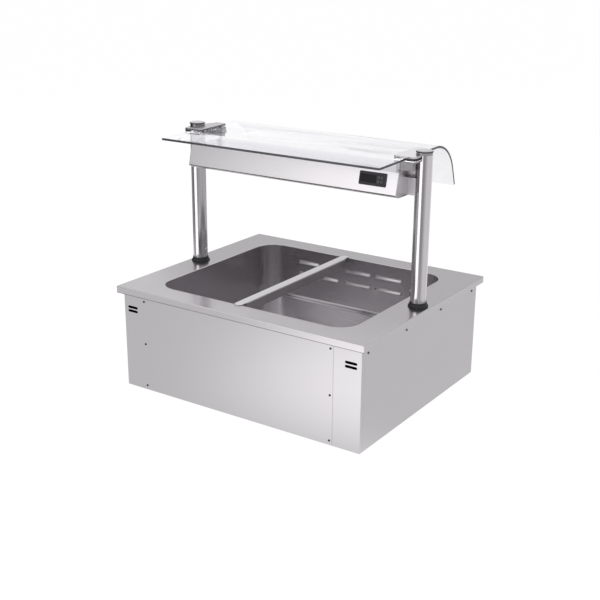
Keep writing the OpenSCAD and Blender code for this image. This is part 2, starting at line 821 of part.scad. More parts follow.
// A sensor bulb held by two clips against the outside of the well's right wall
module well_probe() {
    bulb_d = 6;
    color(bright_steel) translate([well_l / 2 + well_t + 0.1, -140, deck_z - well_depth / 2]) {
        translate([bulb_d / 2, 0, 0]) rotate([-90, 0, 0]) cylinder(d = bulb_d, h = 90);
        for (y = [15, 65]) difference() {
            translate([0, y, -12]) cube([bulb_d + 1, 10, 24]);
            for (s = [-1, 1]) translate([1, y - 1, s * 10.5 - 6.5]) cube([20, 12, 13]);
        }
    }
}

// Posts

plug_h = 24;

module post() {
    difference() {
        cylinder(d = post_d, h = post_h);
        translate([0, 0, -1]) cylinder(d = post_d - 2 * post_wall, h = post_h + 2);
        translate([-post_d / 2, 0, lock_screw_h]) rotate([0, 90, 0]) cylinder(d = 5, h = 10, center = true);
        translate([-post_d / 2, 0, hanger_mid_h]) rotate([0, 90, 0]) cylinder(d = 12, h = 10, center = true);
    }
}

hanger_mid_h = housing_z0 + 1.6 + hanger_h / 2;

module right_post() { color(steel) translate([post_x, post_y, deck_z]) post(); }
module left_post() { color(steel) mirror([1, 0, 0]) translate([post_x, post_y, deck_z]) post(); }

// A flared rubber ring round the foot of a post
module foot_ring() {
    flare = (foot_d - post_d) / 2 - 2;
    color(black) rotate_extrude() difference() {
        translate([post_d / 2 + 0.2, 0.1]) square([(foot_d - post_d) / 2 - 0.2, foot_h]);
        translate([post_d / 2 + 2 + flare, foot_h + 0.1]) scale([flare / (foot_h - 3), 1]) circle(foot_h - 3);
    }
}

module right_foot_ring() { translate([post_x, post_y, deck_z]) foot_ring(); }
module left_foot_ring() { translate([-post_x, post_y, deck_z]) foot_ring(); }

// Threaded plugs in the feet of the posts, which the bolts pull down
module foot_plugs() {
    color(dark_steel) at_posts() difference() {
        cylinder(d = post_d - 2 * post_wall - 0.2, h = plug_h);
        translate([0, 0, -1]) cylinder(d = post_bolt_d, h = plug_h - 3);
    }
}

module post_bolts() {
    z1 = deck_under_z - sheet_gap - casing_t - sheet_gap - bearer_t;
    color(dark_steel) for (s = [-1, 1]) translate([s * post_x, post_y, z1]) {
        translate([0, 0, -2.2]) cylinder(d = 2.4 * post_bolt_d, h = 2);
        translate([0, 0, -2.2 - 0.64 * post_bolt_d]) cylinder(d = 1.9 * post_bolt_d, h = 0.64 * post_bolt_d, $fn = 6);
        translate([0, 0, -2.3]) cylinder(d = post_bolt_d - 0.2, h = deck_z - z1 + plug_h - 6);
    }
}

module lock_screws() {
    color(bright_steel) both_sides() translate([post_x - post_d / 2, post_y, deck_z + lock_screw_h])
        rotate([0, -90, 0]) {
            translate([0, 0, 0.1]) rotate_extrude()
                polygon([[0, 0], [4.5, 0], [4.5, 1.2], [3, 3], [1.6, 3], [1.6, 1.6], [0, 1.6]]);
            translate([0, 0, -post_wall]) cylinder(d = 4.8, h = post_wall + 0.2);
        }
}

// A turned cap with a neck, pushed into the top of a post
module post_cap() {
    neck_d = post_d - 2;
    color(bright_steel) translate([0, 0, post_h]) rotate_extrude() {
        translate([0, -14]) square([post_d / 2 - post_wall - 0.1, 14.1]);
        translate([0, 0.05]) square([neck_d / 2, cap_neck_h]);
        polygon([[0, cap_neck_h], [cap_d / 2, cap_neck_h], [cap_d / 2, cap_neck_h + cap_h - 1.5],
            [cap_d / 2 - 1.5, cap_neck_h + cap_h], [0, cap_neck_h + cap_h]]);
    }
}

module right_cap() { translate([post_x, post_y, deck_z]) post_cap(); }
module left_cap() { translate([-post_x, post_y, deck_z]) post_cap(); }

// Glass and its clamps. Their frame lies on the glass's underside at the posts and slopes with it.

module glass_frame() {
    translate([0, post_y, deck_z + glass_h]) rotate([glass_tilt, 0, 0]) children();
}

module clamp_outline() {
    difference() {
        union() {
            rect_between(clamp_x0, clamp_x1, -clamp_front, 10, clamp_r);
            rect_between(clamp_x0, clamp_x0 + clamp_back_w, -clamp_front, clamp_back, 6);
            polygon([[clamp_x0 + clamp_back_w - 7, 0], [clamp_x1, 0],
                [clamp_x0 + clamp_back_w, clamp_back - 6], [clamp_x0 + clamp_back_w - 7, clamp_back - 6]]);
        }
        translate([post_x, 0]) circle(d = post_d + 2 * clamp_gap);
    }
}

module stud_places() {
    for (s = [-1, 1]) translate([clamp_x0 + stud_in, s * stud_dy, 0]) children();
}

module upper_clamp() {
    color(bright_steel) glass_frame() translate([0, 0, glass_t + gasket_t])
        difference() {
            linear_extrude(clamp_t) clamp_outline();
            stud_places() translate([0, 0, -1]) cylinder(d = stud_d, h = clamp_t);
        }
}

module right_upper_clamp() { upper_clamp(); }
module left_upper_clamp() { mirror([1, 0, 0]) upper_clamp(); }

// Rubber above, below and beside the glass
module gasket() {
    side_x = glass_l / 2 + 0.3;
    color(black) glass_frame() difference() {
        translate([0, 0, -gasket_t]) linear_extrude(glass_t + 2 * gasket_t) clamp_outline();
        translate([0, -clamp_front - 1, 0]) cube([side_x, clamp_front + clamp_back + 2, glass_t]);
        stud_places() cylinder(d = stud_d + 0.4, h = 40, center = true);
    }
}

module right_gasket() { gasket(); }
module left_gasket() { mirror([1, 0, 0]) gasket(); }

// A plate under the glass on a hollow riser that stands on the lamp housing, round the post
module lower_clamp() {
    riser_x0 = clamp_x0 + stud_in + stud_d - 0.5;
    riser_l = post_x - post_d / 2 + post_wrap - riser_x0;
    riser_w = 80;
    riser_z0 = deck_z + housing_z2 + 0.2;
    riser_h = glass_h - gasket_t - clamp_t - housing_z2 + 1.3;
    color(steel) {
        glass_frame() translate([0, 0, -gasket_t - clamp_t]) linear_extrude(clamp_t) difference() {
            clamp_outline();
            stud_places() circle(d = stud_d + 0.4);
        }
        difference() {
            translate([riser_x0, post_y - riser_w / 2, riser_z0]) cube([riser_l, riser_w, riser_h]);
            translate([riser_x0 + 3, post_y + 3 - riser_w / 2, riser_z0 - 1])
                cube([riser_l - 6, riser_w - 6, riser_h - 4]);
            translate([post_x, post_y, deck_z]) cylinder(d = post_d + 2 * clamp_gap + 1, h = post_h);
        }
    }
}

module right_lower_clamp() { lower_clamp(); }
module left_lower_clamp() { mirror([1, 0, 0]) lower_clamp(); }

stud_l = glass_h - housing_z2 + 17;

// Studs that hang from the upper plates and end in nuts inside the housing
module clamp_studs() {
    color(dark_steel) both_sides() glass_frame() {
        stud_places() translate([0, 0, glass_t + gasket_t + 0.2 - stud_l])
            cylinder(d = stud_d - 0.2, h = stud_l + clamp_t - 1.4);
        for (s = [-1, 1]) {
            nut_z = housing_z2 - glass_h - housing_t - 0.4 - s * stud_dy * tan(glass_tilt);
            translate([clamp_x0 + stud_in, s * stud_dy, nut_z - 5]) cylinder(d = 1.9 * stud_d, h = 5, $fn = 6);
        }
    }
}

module clamp_spacers() {
    color(bright_steel) both_sides() difference() {
        glass_frame() stud_places() difference() {
            translate([0, 0, -40]) cylinder(d = 2 * stud_d - 2, h = 40 - gasket_t - clamp_t - 0.1);
            translate([0, 0, -41]) cylinder(d = stud_d + 0.4, h = 50);
        }
        translate([clamp_x0 - 20, -deck_w / 2, deck_z]) cube([100, deck_w, housing_z2 + 0.2]);
    }
}

// The glass: flat over the well, bent down on the customer's side. The points run round the bend
// at a distance r from its axis and end at the lower edge.
function bend_points(r) =
    let (r_in = glass_bend_r - glass_t / 2, steps = 29)
    concat([for (i = [0 : steps]) let (a = glass_turn * i / steps)
        [glass_back + r * sin(a), r * cos(a) - r_in]],
        [[glass_back + r * sin(glass_turn) + glass_skirt * cos(glass_turn),
          r * cos(glass_turn) - r_in - glass_skirt * sin(glass_turn)]]);

function reversed(list) = [for (i = [len(list) - 1 : -1 : 0]) list[i]];

module glass_section() {
    polygon(concat([[-glass_front, 0], [-glass_front, glass_t]],
        bend_points(glass_bend_r + glass_t / 2), reversed(bend_points(glass_bend_r - glass_t / 2))));
}

module glass_screen() {
    color([0.85, 0.88, 0.92, 0.35]) glass_frame() difference() {
        rotate([90, 0, 90]) linear_extrude(glass_l, center = true) glass_section();
        both_sides() stud_places() cylinder(d = stud_d + 2, h = 40, center = true);
    }
}

// Lamp housing

// Half widths and heights of the housing's section, drawn in by d
function housing_outline(d) =
    let (top = housing_top - d, wide = housing_wide - d * 1.1, lip = housing_lip - d * 0.4)
    [[lip, housing_z0 + d * 0.9], [wide, housing_z1 + d * 0.3], [top, housing_z2 - d],
     [-top, housing_z2 - d], [-wide, housing_z1 + d * 0.3], [-lip, housing_z0 + d * 0.9]];

module housing_frame() {
    translate([0, post_y, deck_z]) rotate([90, 0, 90]) children();
}

shell_l = housing_l - 2 * housing_t - 0.4;
face_angle = atan2(housing_wide - housing_top, housing_z2 - housing_z1);

// Puts the controller's frame on the front face: x to the right, y up the face, z outwards
module controller_frame() {
    translate([ctrl_x, post_y - housing_wide, deck_z + housing_z1])
        rotate([90 - face_angle, 0, 0]) translate([0, ctrl_up, 0]) children();
}

module lamp_housing() {
    color(bright_steel) difference() {
        housing_frame() translate([0, 0, -shell_l / 2]) linear_extrude(shell_l) difference() {
            polygon(housing_outline(0));
            polygon(housing_outline(housing_t));
            translate([-housing_lip + 5, housing_z0 - 5]) square([2 * housing_lip - 10, 20]);
        }
        both_sides() glass_frame() stud_places() cylinder(d = stud_d + 1.5, h = 200, center = true);
        controller_frame() cube([ctrl_case_w + 0.6, ctrl_case_h + 0.6, 40], center = true);
    }
}

module end_cap() {
    color(steel) difference() {
        housing_frame() translate([0, 0, housing_l / 2 - housing_t]) linear_extrude(housing_t)
            polygon(housing_outline(0));
        translate([housing_l / 2, post_y, deck_z + hanger_mid_h]) rotate([0, 90, 0])
            cylinder(d = 12, h = 10, center = true);
    }
}

module right_end_cap() { end_cap(); }
module left_end_cap() { mirror([1, 0, 0]) end_cap(); }

// Blocks between the housing's ends and the posts, with a bore for the wires
module hanger_blocks() {
    x0 = housing_l / 2 + 0.1;
    color(steel) both_sides() difference() {
        translate([x0, post_y - hanger_w / 2, deck_z + hanger_mid_h - hanger_h / 2])
            cube([post_x - post_d / 2 + post_wrap - x0, hanger_w, hanger_h]);
        translate([post_x, post_y, deck_z]) cylinder(d = post_d + 0.4, h = post_h);
        translate([housing_l / 2, post_y, deck_z + hanger_mid_h]) rotate([0, 90, 0])
            cylinder(d = 12, h = 60, center = true);
    }
}

lamp_bay_x0 = -shell_l / 2 + 6;
lamp_bay_x1 = ctrl_x - ctrl_w / 2 - 20;
lamp_count = 2;
lamp_pitch = (lamp_bay_x1 - lamp_bay_x0) / lamp_count;
lamp_l = lamp_pitch - lamp_gap;
lamp_h = housing_z1 + 16;
reflector_z0 = housing_z1 + 6;
reflector_z1 = reflector_z0 + reflector_h;

module lamp_places() {
    for (i = [0 : lamp_count - 1])
        translate([lamp_bay_x0 + (i + 0.5) * lamp_pitch, post_y, deck_z + lamp_h]) children();
}

// A bent bright sheet over the lamps
module reflector() {
    l = lamp_bay_x1 - lamp_bay_x0;
    t = 0.8;
    wide = reflector_w / 2;
    narrow = reflector_top_w / 2;
    outer = [[-wide, reflector_z0], [-narrow, reflector_z1], [narrow, reflector_z1], [wide, reflector_z0]];
    inner = [[wide - 1.3 * t, reflector_z0], [narrow - 0.5 * t, reflector_z1 - t],
        [-narrow + 0.5 * t, reflector_z1 - t], [-wide + 1.3 * t, reflector_z0]];
    color(bright_steel) {
        housing_frame() translate([0, 0, lamp_bay_x0]) linear_extrude(l) polygon(concat(outer, inner));
        for (x = [lamp_bay_x0 + 30, lamp_bay_x1 - 42])
            translate([x, post_y - narrow / 2, deck_z + reflector_z1 - eps])
                cube([12, narrow, housing_z2 - housing_t - reflector_z1 - 0.2]);
    }
}

module heat_lamps() {
    color("whitesmoke") lamp_places() rotate([0, 90, 0]) {
        cylinder(d = lamp_d, h = lamp_l - 24.4, center = true);
        for (s = [-1, 1]) translate([0, 0, s * (lamp_l / 2 - 7)]) cylinder(d = lamp_d - 3, h = 14, center = true);
    }
}

// Ceramic cups that take the ends of the lamps
module lamp_holders() {
    color("ivory") lamp_places() for (s = [0, 1]) mirror([s, 0, 0]) translate([lamp_l / 2 - 8, 0, 0])
        difference() {
            translate([-4, -holder_w / 2, -8]) cube([18, holder_w, reflector_z1 - 1 - lamp_h + 8]);
            translate([-5, 0, 0]) rotate([0, 90, 0]) cylinder(d = lamp_d - 2.8, h = 13.2);
        }
}

// Wires under the lamps that keep hands and cloths off them
module lamp_guard() {
    wire = 2.5;
    z = housing_z0 + housing_t + wire / 2;
    l = lamp_bay_x1 - lamp_bay_x0;
    color(bright_steel) {
        for (y = [-36, -12, 12, 36]) translate([lamp_bay_x0, post_y + y, deck_z + z + wire + 0.05])
            rotate([0, 90, 0]) cylinder(d = wire, h = l);
        for (i = [0 : 9]) translate([lamp_bay_x0 + 8 + i * (l - 16) / 9, post_y, deck_z + z])
            rotate([90, 0, 0]) cylinder(d = wire, h = 2 * housing_lip - 3.4, center = true);
    }
}

// The wall between the hot lamp bay and the controller
module housing_bulkhead() {
    color(steel) housing_frame() translate([0, 0, lamp_bay_x1 + 2]) linear_extrude(1)
        polygon(housing_outline(housing_t + 0.2));
}

// Controller

ctrl_case_w = ctrl_w - 6;
ctrl_case_h = ctrl_h - 6;
window_x = -ctrl_w / 2 + 3 + window_w / 2;
window_deep = 1.2;
keys_x = ctrl_w / 2 - 7.6 - key_w / 2 - key_dx / 2;
key_sink = 2;

module key_place(i) {
    translate([keys_x + (i % 2 - 0.5) * key_dx, (i < 2 ? 0.5 : -0.5) * key_dy, ctrl_t]) children();
}

module key_outline(grow) {
    rounded_rect(key_w + 2 * grow, key_h + 2 * grow, 1.5);
}

module controller_body() {
    color(black) controller_frame() difference() {
        union() {
            translate([0, 0, 0.1]) linear_extrude(ctrl_t - 0.1) rounded_rect(ctrl_w, ctrl_h, 2.5);
            translate([-ctrl_case_w / 2, -ctrl_case_h / 2, -ctrl_depth]) cube([ctrl_case_w, ctrl_case_h, ctrl_depth + 1]);
        }
        translate([window_x, 0, ctrl_t - window_deep]) linear_extrude(3) rounded_rect(window_w, window_h, 1.2);
        for (i = [0 : 3]) key_place(i) translate([0, 0, -key_sink - key_travel - 0.3])
            linear_extrude(10) key_outline(key_gap);
    }
}

// The tinted window that lies in the front, a little below its face
module controller_window() {
    color([0.05, 0.05, 0.06]) controller_frame() translate([window_x, 0, ctrl_t - window_deep])
        linear_extrude(window_deep - 0.3) rounded_rect(window_w - 0.2, window_h - 0.2, 1.1);
}

module key(i) {
    color([0.2, 0.2, 0.21]) controller_frame() key_place(i) translate([0, 0, -key_sink])
        linear_extrude(key_sink + key_proud) key_outline(0);
}

module key_1() { key(0); }
module key_2() { key(1); }
module key_3() { key(2); }
module key_4() { key(3); }

deck();
well_tank();
support_bar();
front_casing();
service_panel();
left_casing();
right_casing();
back_casing();
base_tray();
service_panel_screws();
side_screws();
left_bearer();
right_bearer();
air_duct();
duct_baffle();
fan_wheel();
fan_motor();
air_heater();
floor_element();
insulation_slab();
drain_outlet();
drain_strainer();
element_clips();
terminal_box();
cable_gland();
safety_thermostat();
well_probe();
left_post();
right_post();
left_foot_ring();
right_foot_ring();
foot_plugs();
post_bolts();
lock_screws();
left_cap();
right_cap();
left_upper_clamp();
right_upper_clamp();
left_gasket();
right_gasket();
left_lower_clamp();
right_lower_clamp();
clamp_studs();
clamp_spacers();
glass_screen();
lamp_housing();
left_end_cap();
right_end_cap();
hanger_blocks();
reflector();
heat_lamps();
lamp_holders();
lamp_guard();
housing_bulkhead();
controller_body();
controller_window();
key_1();
key_2();
key_3();
key_4();
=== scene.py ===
# %% [markdown]
# # A drop-in bain marie under a heated glass gantry
# The object is a catering unit: a steel deck with a deep well, a boxed casing below it, and two
# posts that carry a bent glass and a lamp housing. The solids come from a CAD model. This lesson
# dresses them: sharp CAD edges get their small real radii, the parts that catch the eye are
# modelled again by hand, and every surface gets the material that it has on the real unit.

# %% Load the CAD model
import math
import bpy
from mathutils import Matrix, Vector


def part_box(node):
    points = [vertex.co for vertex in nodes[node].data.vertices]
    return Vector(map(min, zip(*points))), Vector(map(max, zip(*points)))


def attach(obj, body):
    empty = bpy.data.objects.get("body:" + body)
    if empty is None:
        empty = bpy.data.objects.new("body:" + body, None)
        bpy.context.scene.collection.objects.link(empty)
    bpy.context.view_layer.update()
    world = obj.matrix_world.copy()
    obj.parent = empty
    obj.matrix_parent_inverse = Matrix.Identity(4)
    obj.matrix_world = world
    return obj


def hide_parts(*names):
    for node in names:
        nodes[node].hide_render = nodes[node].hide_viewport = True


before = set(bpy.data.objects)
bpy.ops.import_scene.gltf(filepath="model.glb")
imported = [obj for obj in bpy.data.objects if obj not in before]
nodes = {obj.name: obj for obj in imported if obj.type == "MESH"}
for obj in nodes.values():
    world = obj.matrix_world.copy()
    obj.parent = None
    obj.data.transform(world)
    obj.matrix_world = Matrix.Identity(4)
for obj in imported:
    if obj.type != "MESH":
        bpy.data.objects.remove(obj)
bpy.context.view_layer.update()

# %% [markdown]
# The sizes that more than one piece needs are read off the CAD boxes or written once here, in
# metres, so that a new piece always meets the solid it belongs to. Two places that are closer
# than NEAR count as the same.

# %% Sizes that the pieces share
DECK_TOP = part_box("deck")[1].z
DECK_SHEET, WELL_SHEET = 0.0015, 0.0012
WELL_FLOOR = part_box("well_tank")[0].z + WELL_SHEET
WELL_HALF_X, WELL_HALF_Y, WELL_CORNER = 0.311, 0.268, 0.060
POST_X, POST_Y = 0.367, -0.005
GLASS_TILT = math.radians(1.25)
GLASS_UNDERSIDE = DECK_TOP + 0.3944
NEAR = 0.0001
print("deck top", round(DECK_TOP, 4), "well floor", round(WELL_FLOOR, 4))

# %% [markdown]
# ## Small tools
# Blender's operators act on whatever is selected. So the first habit to learn is to say, before
# each operator, which object and which faces it may touch.

# %% Select one object
def only(piece):
    if bpy.context.object and bpy.context.object.mode != "OBJECT":
        bpy.ops.object.mode_set(mode="OBJECT")
    bpy.ops.object.select_all(action="DESELECT")
    piece.select_set(True)
    bpy.context.view_layer.objects.active = piece
    return piece

# %% [markdown]
# Pieces that belong together are joined into the first one of a list. A new primitive is added
# with nothing else selected, and its place, turn and size go into its mesh at once, so that a
# rule on places can find its faces.

# %% Join pieces, and start a new one
def joined(pieces):
    only(pieces[0])
    for piece in pieces[1:]:
        piece.select_set(True)
    bpy.ops.object.join()
    return bpy.context.view_layer.objects.active

def new_piece(primitive, **settings):
    bpy.ops.object.select_all(action="DESELECT")
    primitive(**settings)
    piece = only(bpy.context.object)
    bpy.ops.object.transform_apply(location=True, rotation=True, scale=True)
    return piece

# %% [markdown]
# A face, an edge or a corner is picked by a rule on its place, such as "higher than 0.2". The
# flags are set in object mode and edit mode is entered afterwards, which then shows them.

# %% Pick corners, edges or faces by a rule
def pick(piece, kind, rule):
    only(piece)
    mesh = piece.data
    for group in (mesh.vertices, mesh.edges, mesh.polygons):
        group.foreach_set("select", [False] * len(group))
    count = 0
    if kind == "VERT":
        for v in mesh.vertices:
            v.select = rule(v.co)
            count += v.select
    elif kind == "EDGE":
        for e in mesh.edges:
            a, b = (mesh.vertices[i].co for i in e.vertices)
            e.select = rule(a, b)
            count += e.select
    else:
        for f in mesh.polygons:
            f.select = rule(f.center, f.normal)
            count += f.select
    bpy.ops.object.mode_set(mode="EDIT")
    bpy.ops.mesh.select_mode(type=kind)
    return count

# %% [markdown]
# A finished piece has its place in its mesh and its object at the origin, as a CAD node does.
# That keeps patterns on Object coordinates where they belong.

# %% Finish a piece
def settle(piece, name, finish, body="base", stands_for=()):
    only(piece)
    bpy.ops.object.transform_apply(location=True, rotation=True, scale=True)
    piece.name = name
    piece.data.name = name
    if finish is not None:
        piece.data.materials.clear()
        piece.data.materials.append(finish)
    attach(piece, body)
    if stands_for:
        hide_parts(*stands_for)
    print(f"{name}: {len(piece.data.polygons)} faces")
    return piece

# %% [markdown]
# A modifier is applied as soon as it is set. The next step then finds a plain mesh whose faces
# can be picked. Cutting one piece with another, and smooth shading up to a set angle, come back
# often enough to get a name.

# %% Modify, cut and smooth a piece
def modify(piece, kind, **settings):
    only(piece)
    modifier = piece.modifiers.new(kind.title(), kind)
    for key, value in settings.items():
        setattr(modifier, key, value)
    bpy.ops.object.modifier_apply(modifier=modifier.name)

def cut_away(piece, cutter):
    modify(piece, "BOOLEAN", operation="DIFFERENCE", object=cutter, solver="EXACT")
    bpy.data.objects.remove(cutter)

def smooth(piece, degrees):
    only(piece)
    bpy.ops.object.shade_smooth_by_angle(angle=math.radians(degrees))

def weigh_normals(piece):
    modify(piece, "WEIGHTED_NORMAL", mode="FACE_AREA", weight=100, keep_sharp=True)

# %% [markdown]
# Sheet steel is never razor sharp: a cut edge is eased to a few tenths of a millimetre, and that
# thin radius is what draws a bright line in a photograph. A bevel that only touches edges sharper
# than a set angle gives it. The small new faces would pull the shading of the large flat ones
# towards them, so the last step weights each corner's direction by the area of its faces.
#
# The CAD mesh is loose triangles, so a copy is merged first and the coplanar triangles are
# dissolved, or the bevel would follow every triangle. Some edges were rolled wider by a tool.
# They are picked by a rule and get their own radius before the rest.

# %% A copy of a CAD node with eased edges
def eased(node_name, name, finish, width, body="base", segments=2, roll=None, roll_radius=0.0):
    piece = nodes[node_name].copy()
    piece.data = nodes[node_name].data.copy()
    piece.parent = None
    for key in list(piece.keys()):
        del piece[key]
    bpy.context.scene.collection.objects.link(piece)
    only(piece)
    bpy.ops.object.mode_set(mode="EDIT")
    bpy.ops.mesh.select_all(action="SELECT")
    bpy.ops.mesh.remove_doubles(threshold=0.000002)
    bpy.ops.mesh.dissolve_limited(angle_limit=math.radians(0.5))
    bpy.ops.object.mode_set(mode="OBJECT")
    if roll:
        print("rolled edges:", pick(piece, "EDGE", roll))
        bpy.ops.mesh.bevel(offset=roll_radius, segments=4, affect="EDGES")
        bpy.ops.object.mode_set(mode="OBJECT")
    modify(piece, "BEVEL", width=width, segments=segments, limit_method="ANGLE",
           angle_limit=math.radians(35), use_clamp_overlap=True, miter_outer="MITER_ARC")
    smooth(piece, 32)
    weigh_normals(piece)
    return settle(piece, name, finish, body, [node_name])

# %% [markdown]
# ## Materials
# Colours are picked as sRGB hex values, the way a colour chart gives them. Light adds up in
# linear values, so one function turns the one into the other.

# %% sRGB hex to linear
def linear(code):
    channels = [int(code[i:i + 2], 16) / 255 for i in (0, 2, 4)]
    return [c / 12.92 if c <= 0.04045 else ((c + 0.055) / 1.055) ** 2.4 for c in channels] + [1.0]

# %% [markdown]
# A material is a small network. Each node does one job, so one function is enough to add any of
# them: it takes the node's type, its settings, and what goes into its sockets, either a value or
# another node's output.

# %% Add a node
def add_node(tree, kind, settings=None, inputs=None):
    node = tree.nodes.new(kind)
    for key, value in (settings or {}).items():
        setattr(node, key, value)
    for key, value in (inputs or {}).items():
        if isinstance(value, bpy.types.NodeSocket):
            tree.links.new(value, node.inputs[key])
        else:
            node.inputs[key].default_value = value
    return node

# %% [markdown]
# The Principled shader covers metal, plastic and glass. A new material gets one, with the sockets
# that are the same all over the piece. A socket's name has an underscore here for each space.

# %% Start a material with one shader
def new_material(name, **sockets):
    material = bpy.data.materials.new(name)
    material.use_nodes = True
    shader = material.node_tree.nodes["Principled BSDF"]
    for key, value in sockets.items():
        shader.inputs[key.replace("_", " ")].default_value = value
    return material, material.node_tree, shader

# %% [markdown]
# No surface is quite even. Its colour wanders between a shade that is a little darker than the
# chart's and one that is a little lighter.

# %% A darker and a lighter shade of one colour
def shades(code, share):
    base = linear(code)
    low = [c * (1 - share) for c in base[:3]] + [1.0]
    high = [min(1.0, c * (1 + share)) for c in base[:3]] + [1.0]
    return low, high

# %% [markdown]
# ### Brushed stainless steel
# The unit is made of 304 stainless steel. A sheet is rolled, then brushed with an abrasive belt,
# which leaves fine scratches in one direction. To the eye that gives a soft reflection with
# faint streaks. The real scratches are about 0.1 mm apart, too fine for this picture, so they are
# drawn about 1.5 mm wide and 120 mm long: noise that is squeezed across the grain and stretched
# along it. It moves the roughness and the colour a little and dents the surface slightly.

# %% A function for steel with a grain
ALONG_X, ALONG_Y = (8, 650, 650), (650, 8, 650)

def grained_steel(name, code, roughness, grain=ALONG_X, streak=0.05, dent=0.02, spread=0.06):
    material, tree, shader = new_material(name, Metallic=1.0)
    place = add_node(tree, "ShaderNodeTexCoord")
    squeeze = add_node(tree, "ShaderNodeMapping", inputs={
        "Vector": place.outputs["Object"], "Scale": grain})
    grit = add_node(tree, "ShaderNodeTexNoise", inputs={
        "Vector": squeeze.outputs["Vector"], "Scale": 1.0, "Detail": 3.0, "Roughness": 0.6})
    cloud = add_node(tree, "ShaderNodeTexNoise", inputs={
        "Vector": place.outputs["Object"], "Scale": 7.0, "Detail": 2.0})
    low, high = shades(code, streak)
    tone = add_node(tree, "ShaderNodeMix", {"data_type": "RGBA"}, {
        "Factor": grit.outputs["Fac"], 6: low, 7: high})
    rough = add_node(tree, "ShaderNodeMapRange", inputs={
        "Value": grit.outputs["Fac"], "From Min": 0.3, "From Max": 0.7,
        "To Min": roughness - spread, "To Max": roughness + spread})
    worn = add_node(tree, "ShaderNodeMath", {"operation": "MULTIPLY_ADD"}, {
        0: cloud.outputs["Fac"], 1: 0.06, 2: rough.outputs["Result"]})
    bump = add_node(tree, "ShaderNodeBump", inputs={
        "Strength": dent, "Distance": 0.0003, "Height": grit.outputs["Fac"]})
    tree.links.new(tone.outputs[2], shader.inputs["Base Color"])
    tree.links.new(worn.outputs["Value"], shader.inputs["Roughness"])
    tree.links.new(bump.outputs["Normal"], shader.inputs["Normal"])
    return material

# %% [markdown]
# Most of the steels differ only in tone and roughness. A brushed sheet has slight dents, a pressing
# has none and is more even, and the plates darkened for painted shade are streaked a little more.
# What follows the name is the tone, the roughness, and the grain where it doesn't run along x.

# %% The steels
SHEET = {"streak": 0.02, "dent": 0.008, "spread": 0.03}
PRESSED = {"streak": 0.02, "dent": 0.0, "spread": 0.02}
PLATE = {"streak": 0.03, "dent": 0.0, "spread": 0.03}
deck_steel = grained_steel("brushed_304_sheet_deck", "D0CDD0", 0.20, **SHEET)
casing_steel = grained_steel("brushed_304_sheet_casing", "D3D0D3", 0.34, **SHEET)
housing_steel = grained_steel("brushed_304_sheet_housing", "DCD9DC", 0.30, **SHEET)
end_steel = grained_steel("brushed_304_sheet_end", "C9C6C9", 0.30, **SHEET)
well_steel = grained_steel("brushed_304_pressing_well", "C2BFC2", 0.22, **PRESSED)
bar_steel = grained_steel("brushed_304_bar_side", "C2BFC2", 0.36, ALONG_Y, **PRESSED)
# Lighter tone for the bar's top: painted light.
lit_top_steel = grained_steel("painted_light_304_bar_top", "F0EDF0", 0.30, ALONG_Y, **PRESSED)
tongue_steel = grained_steel("punched_304_tongue", "D2CFD2", 0.35, **PRESSED)
plate_steel = grained_steel("polished_304_plate", "D6D3D6", 0.24, (300, 12, 300), **PRESSED)
# Darker copy of the plate steel for the left upper plate: painted shade.
painted_shade_plate = grained_steel("painted_shade_304_plate", "AAA7AA", 0.24, **PLATE)
under_steel = grained_steel("shaded_304_plate", "A19EA1", 0.28, **PLATE)
# Darker steel for faces that look down or aside into shade: painted shade.
painted_shade_steel = grained_steel("painted_shade_304_fold", "858285", 0.40, **PLATE)
tube_steel = grained_steel("ground_304_tube", "989598", 0.12, (420, 420, 6), 0.02, 0.004, 0.02)
turned_steel = grained_steel("turned_304_cap", "A8A5A8", 0.16, (60, 60, 900), streak=0.03)
screw_steel = grained_steel("cold_headed_a2_steel", "545254", 0.30, (900, 900, 900))
zinc_steel = grained_steel("zinc_plated_steel", "B4B6B8", 0.42, (90, 90, 90), 0.10, 0.05)
sheath_steel = grained_steel("heat_darkened_alloy_sheath", "5E5650", 0.48, (60, 60, 60), 0.14)
# Also paints the left lower plate pale: painted light.
blasted_metal_and_painted_light = grained_steel("bead_blasted_aluminium_and_painted_light", "DEDBDE", 0.45, (900, 900, 900), dent=0.10)
mirror_metal = grained_steel("bright_anodised_aluminium", "E6E7E8", 0.08, (10, 400, 10),
                             streak=0.02, spread=0.02)
print("steels made:", len(bpy.data.materials))

# %% [markdown]
# ### Rubber, plastics, ceramic and wool
# Moulded parts scatter light instead of mirroring it. EPDM rubber is almost black and matt with a
# fine bloom; ABS has the spark-eroded grain of its mould, about 0.3 mm between the peaks. Such
# grain is too fine for this picture, so it is drawn three times as coarse.

# %% A function for moulded parts
COARSER = 3

def moulded(name, code, roughness, grain_mm=0.4, dent=0.15, blotch=0.12, ior=1.5, gloss=0.5):
    material, tree, shader = new_material(name, IOR=ior, Specular_IOR_Level=gloss)
    place = add_node(tree, "ShaderNodeTexCoord")
    grain = add_node(tree, "ShaderNodeTexNoise", inputs={
        "Vector": place.outputs["Object"], "Scale": 1000 / grain_mm / COARSER, "Detail": 2.0})
    cloud = add_node(tree, "ShaderNodeTexNoise", inputs={
        "Vector": place.outputs["Object"], "Scale": 30.0, "Detail": 3.0})
    low, high = shades(code, blotch)
    tone = add_node(tree, "ShaderNodeMix", {"data_type": "RGBA"}, {
        "Factor": cloud.outputs["Fac"], 6: low, 7: high})
    rough = add_node(tree, "ShaderNodeMapRange", inputs={
        "Value": grain.outputs["Fac"], "From Min": 0.3, "From Max": 0.7,
        "To Min": roughness - 0.05, "To Max": roughness + 0.05})
    bump = add_node(tree, "ShaderNodeBump", inputs={
        "Strength": dent, "Distance": 0.0001, "Height": grain.outputs["Fac"]})
    tree.links.new(tone.outputs[2], shader.inputs["Base Color"])
    tree.links.new(rough.outputs["Result"], shader.inputs["Roughness"])
    tree.links.new(bump.outputs["Normal"], shader.inputs["Normal"])
    return material
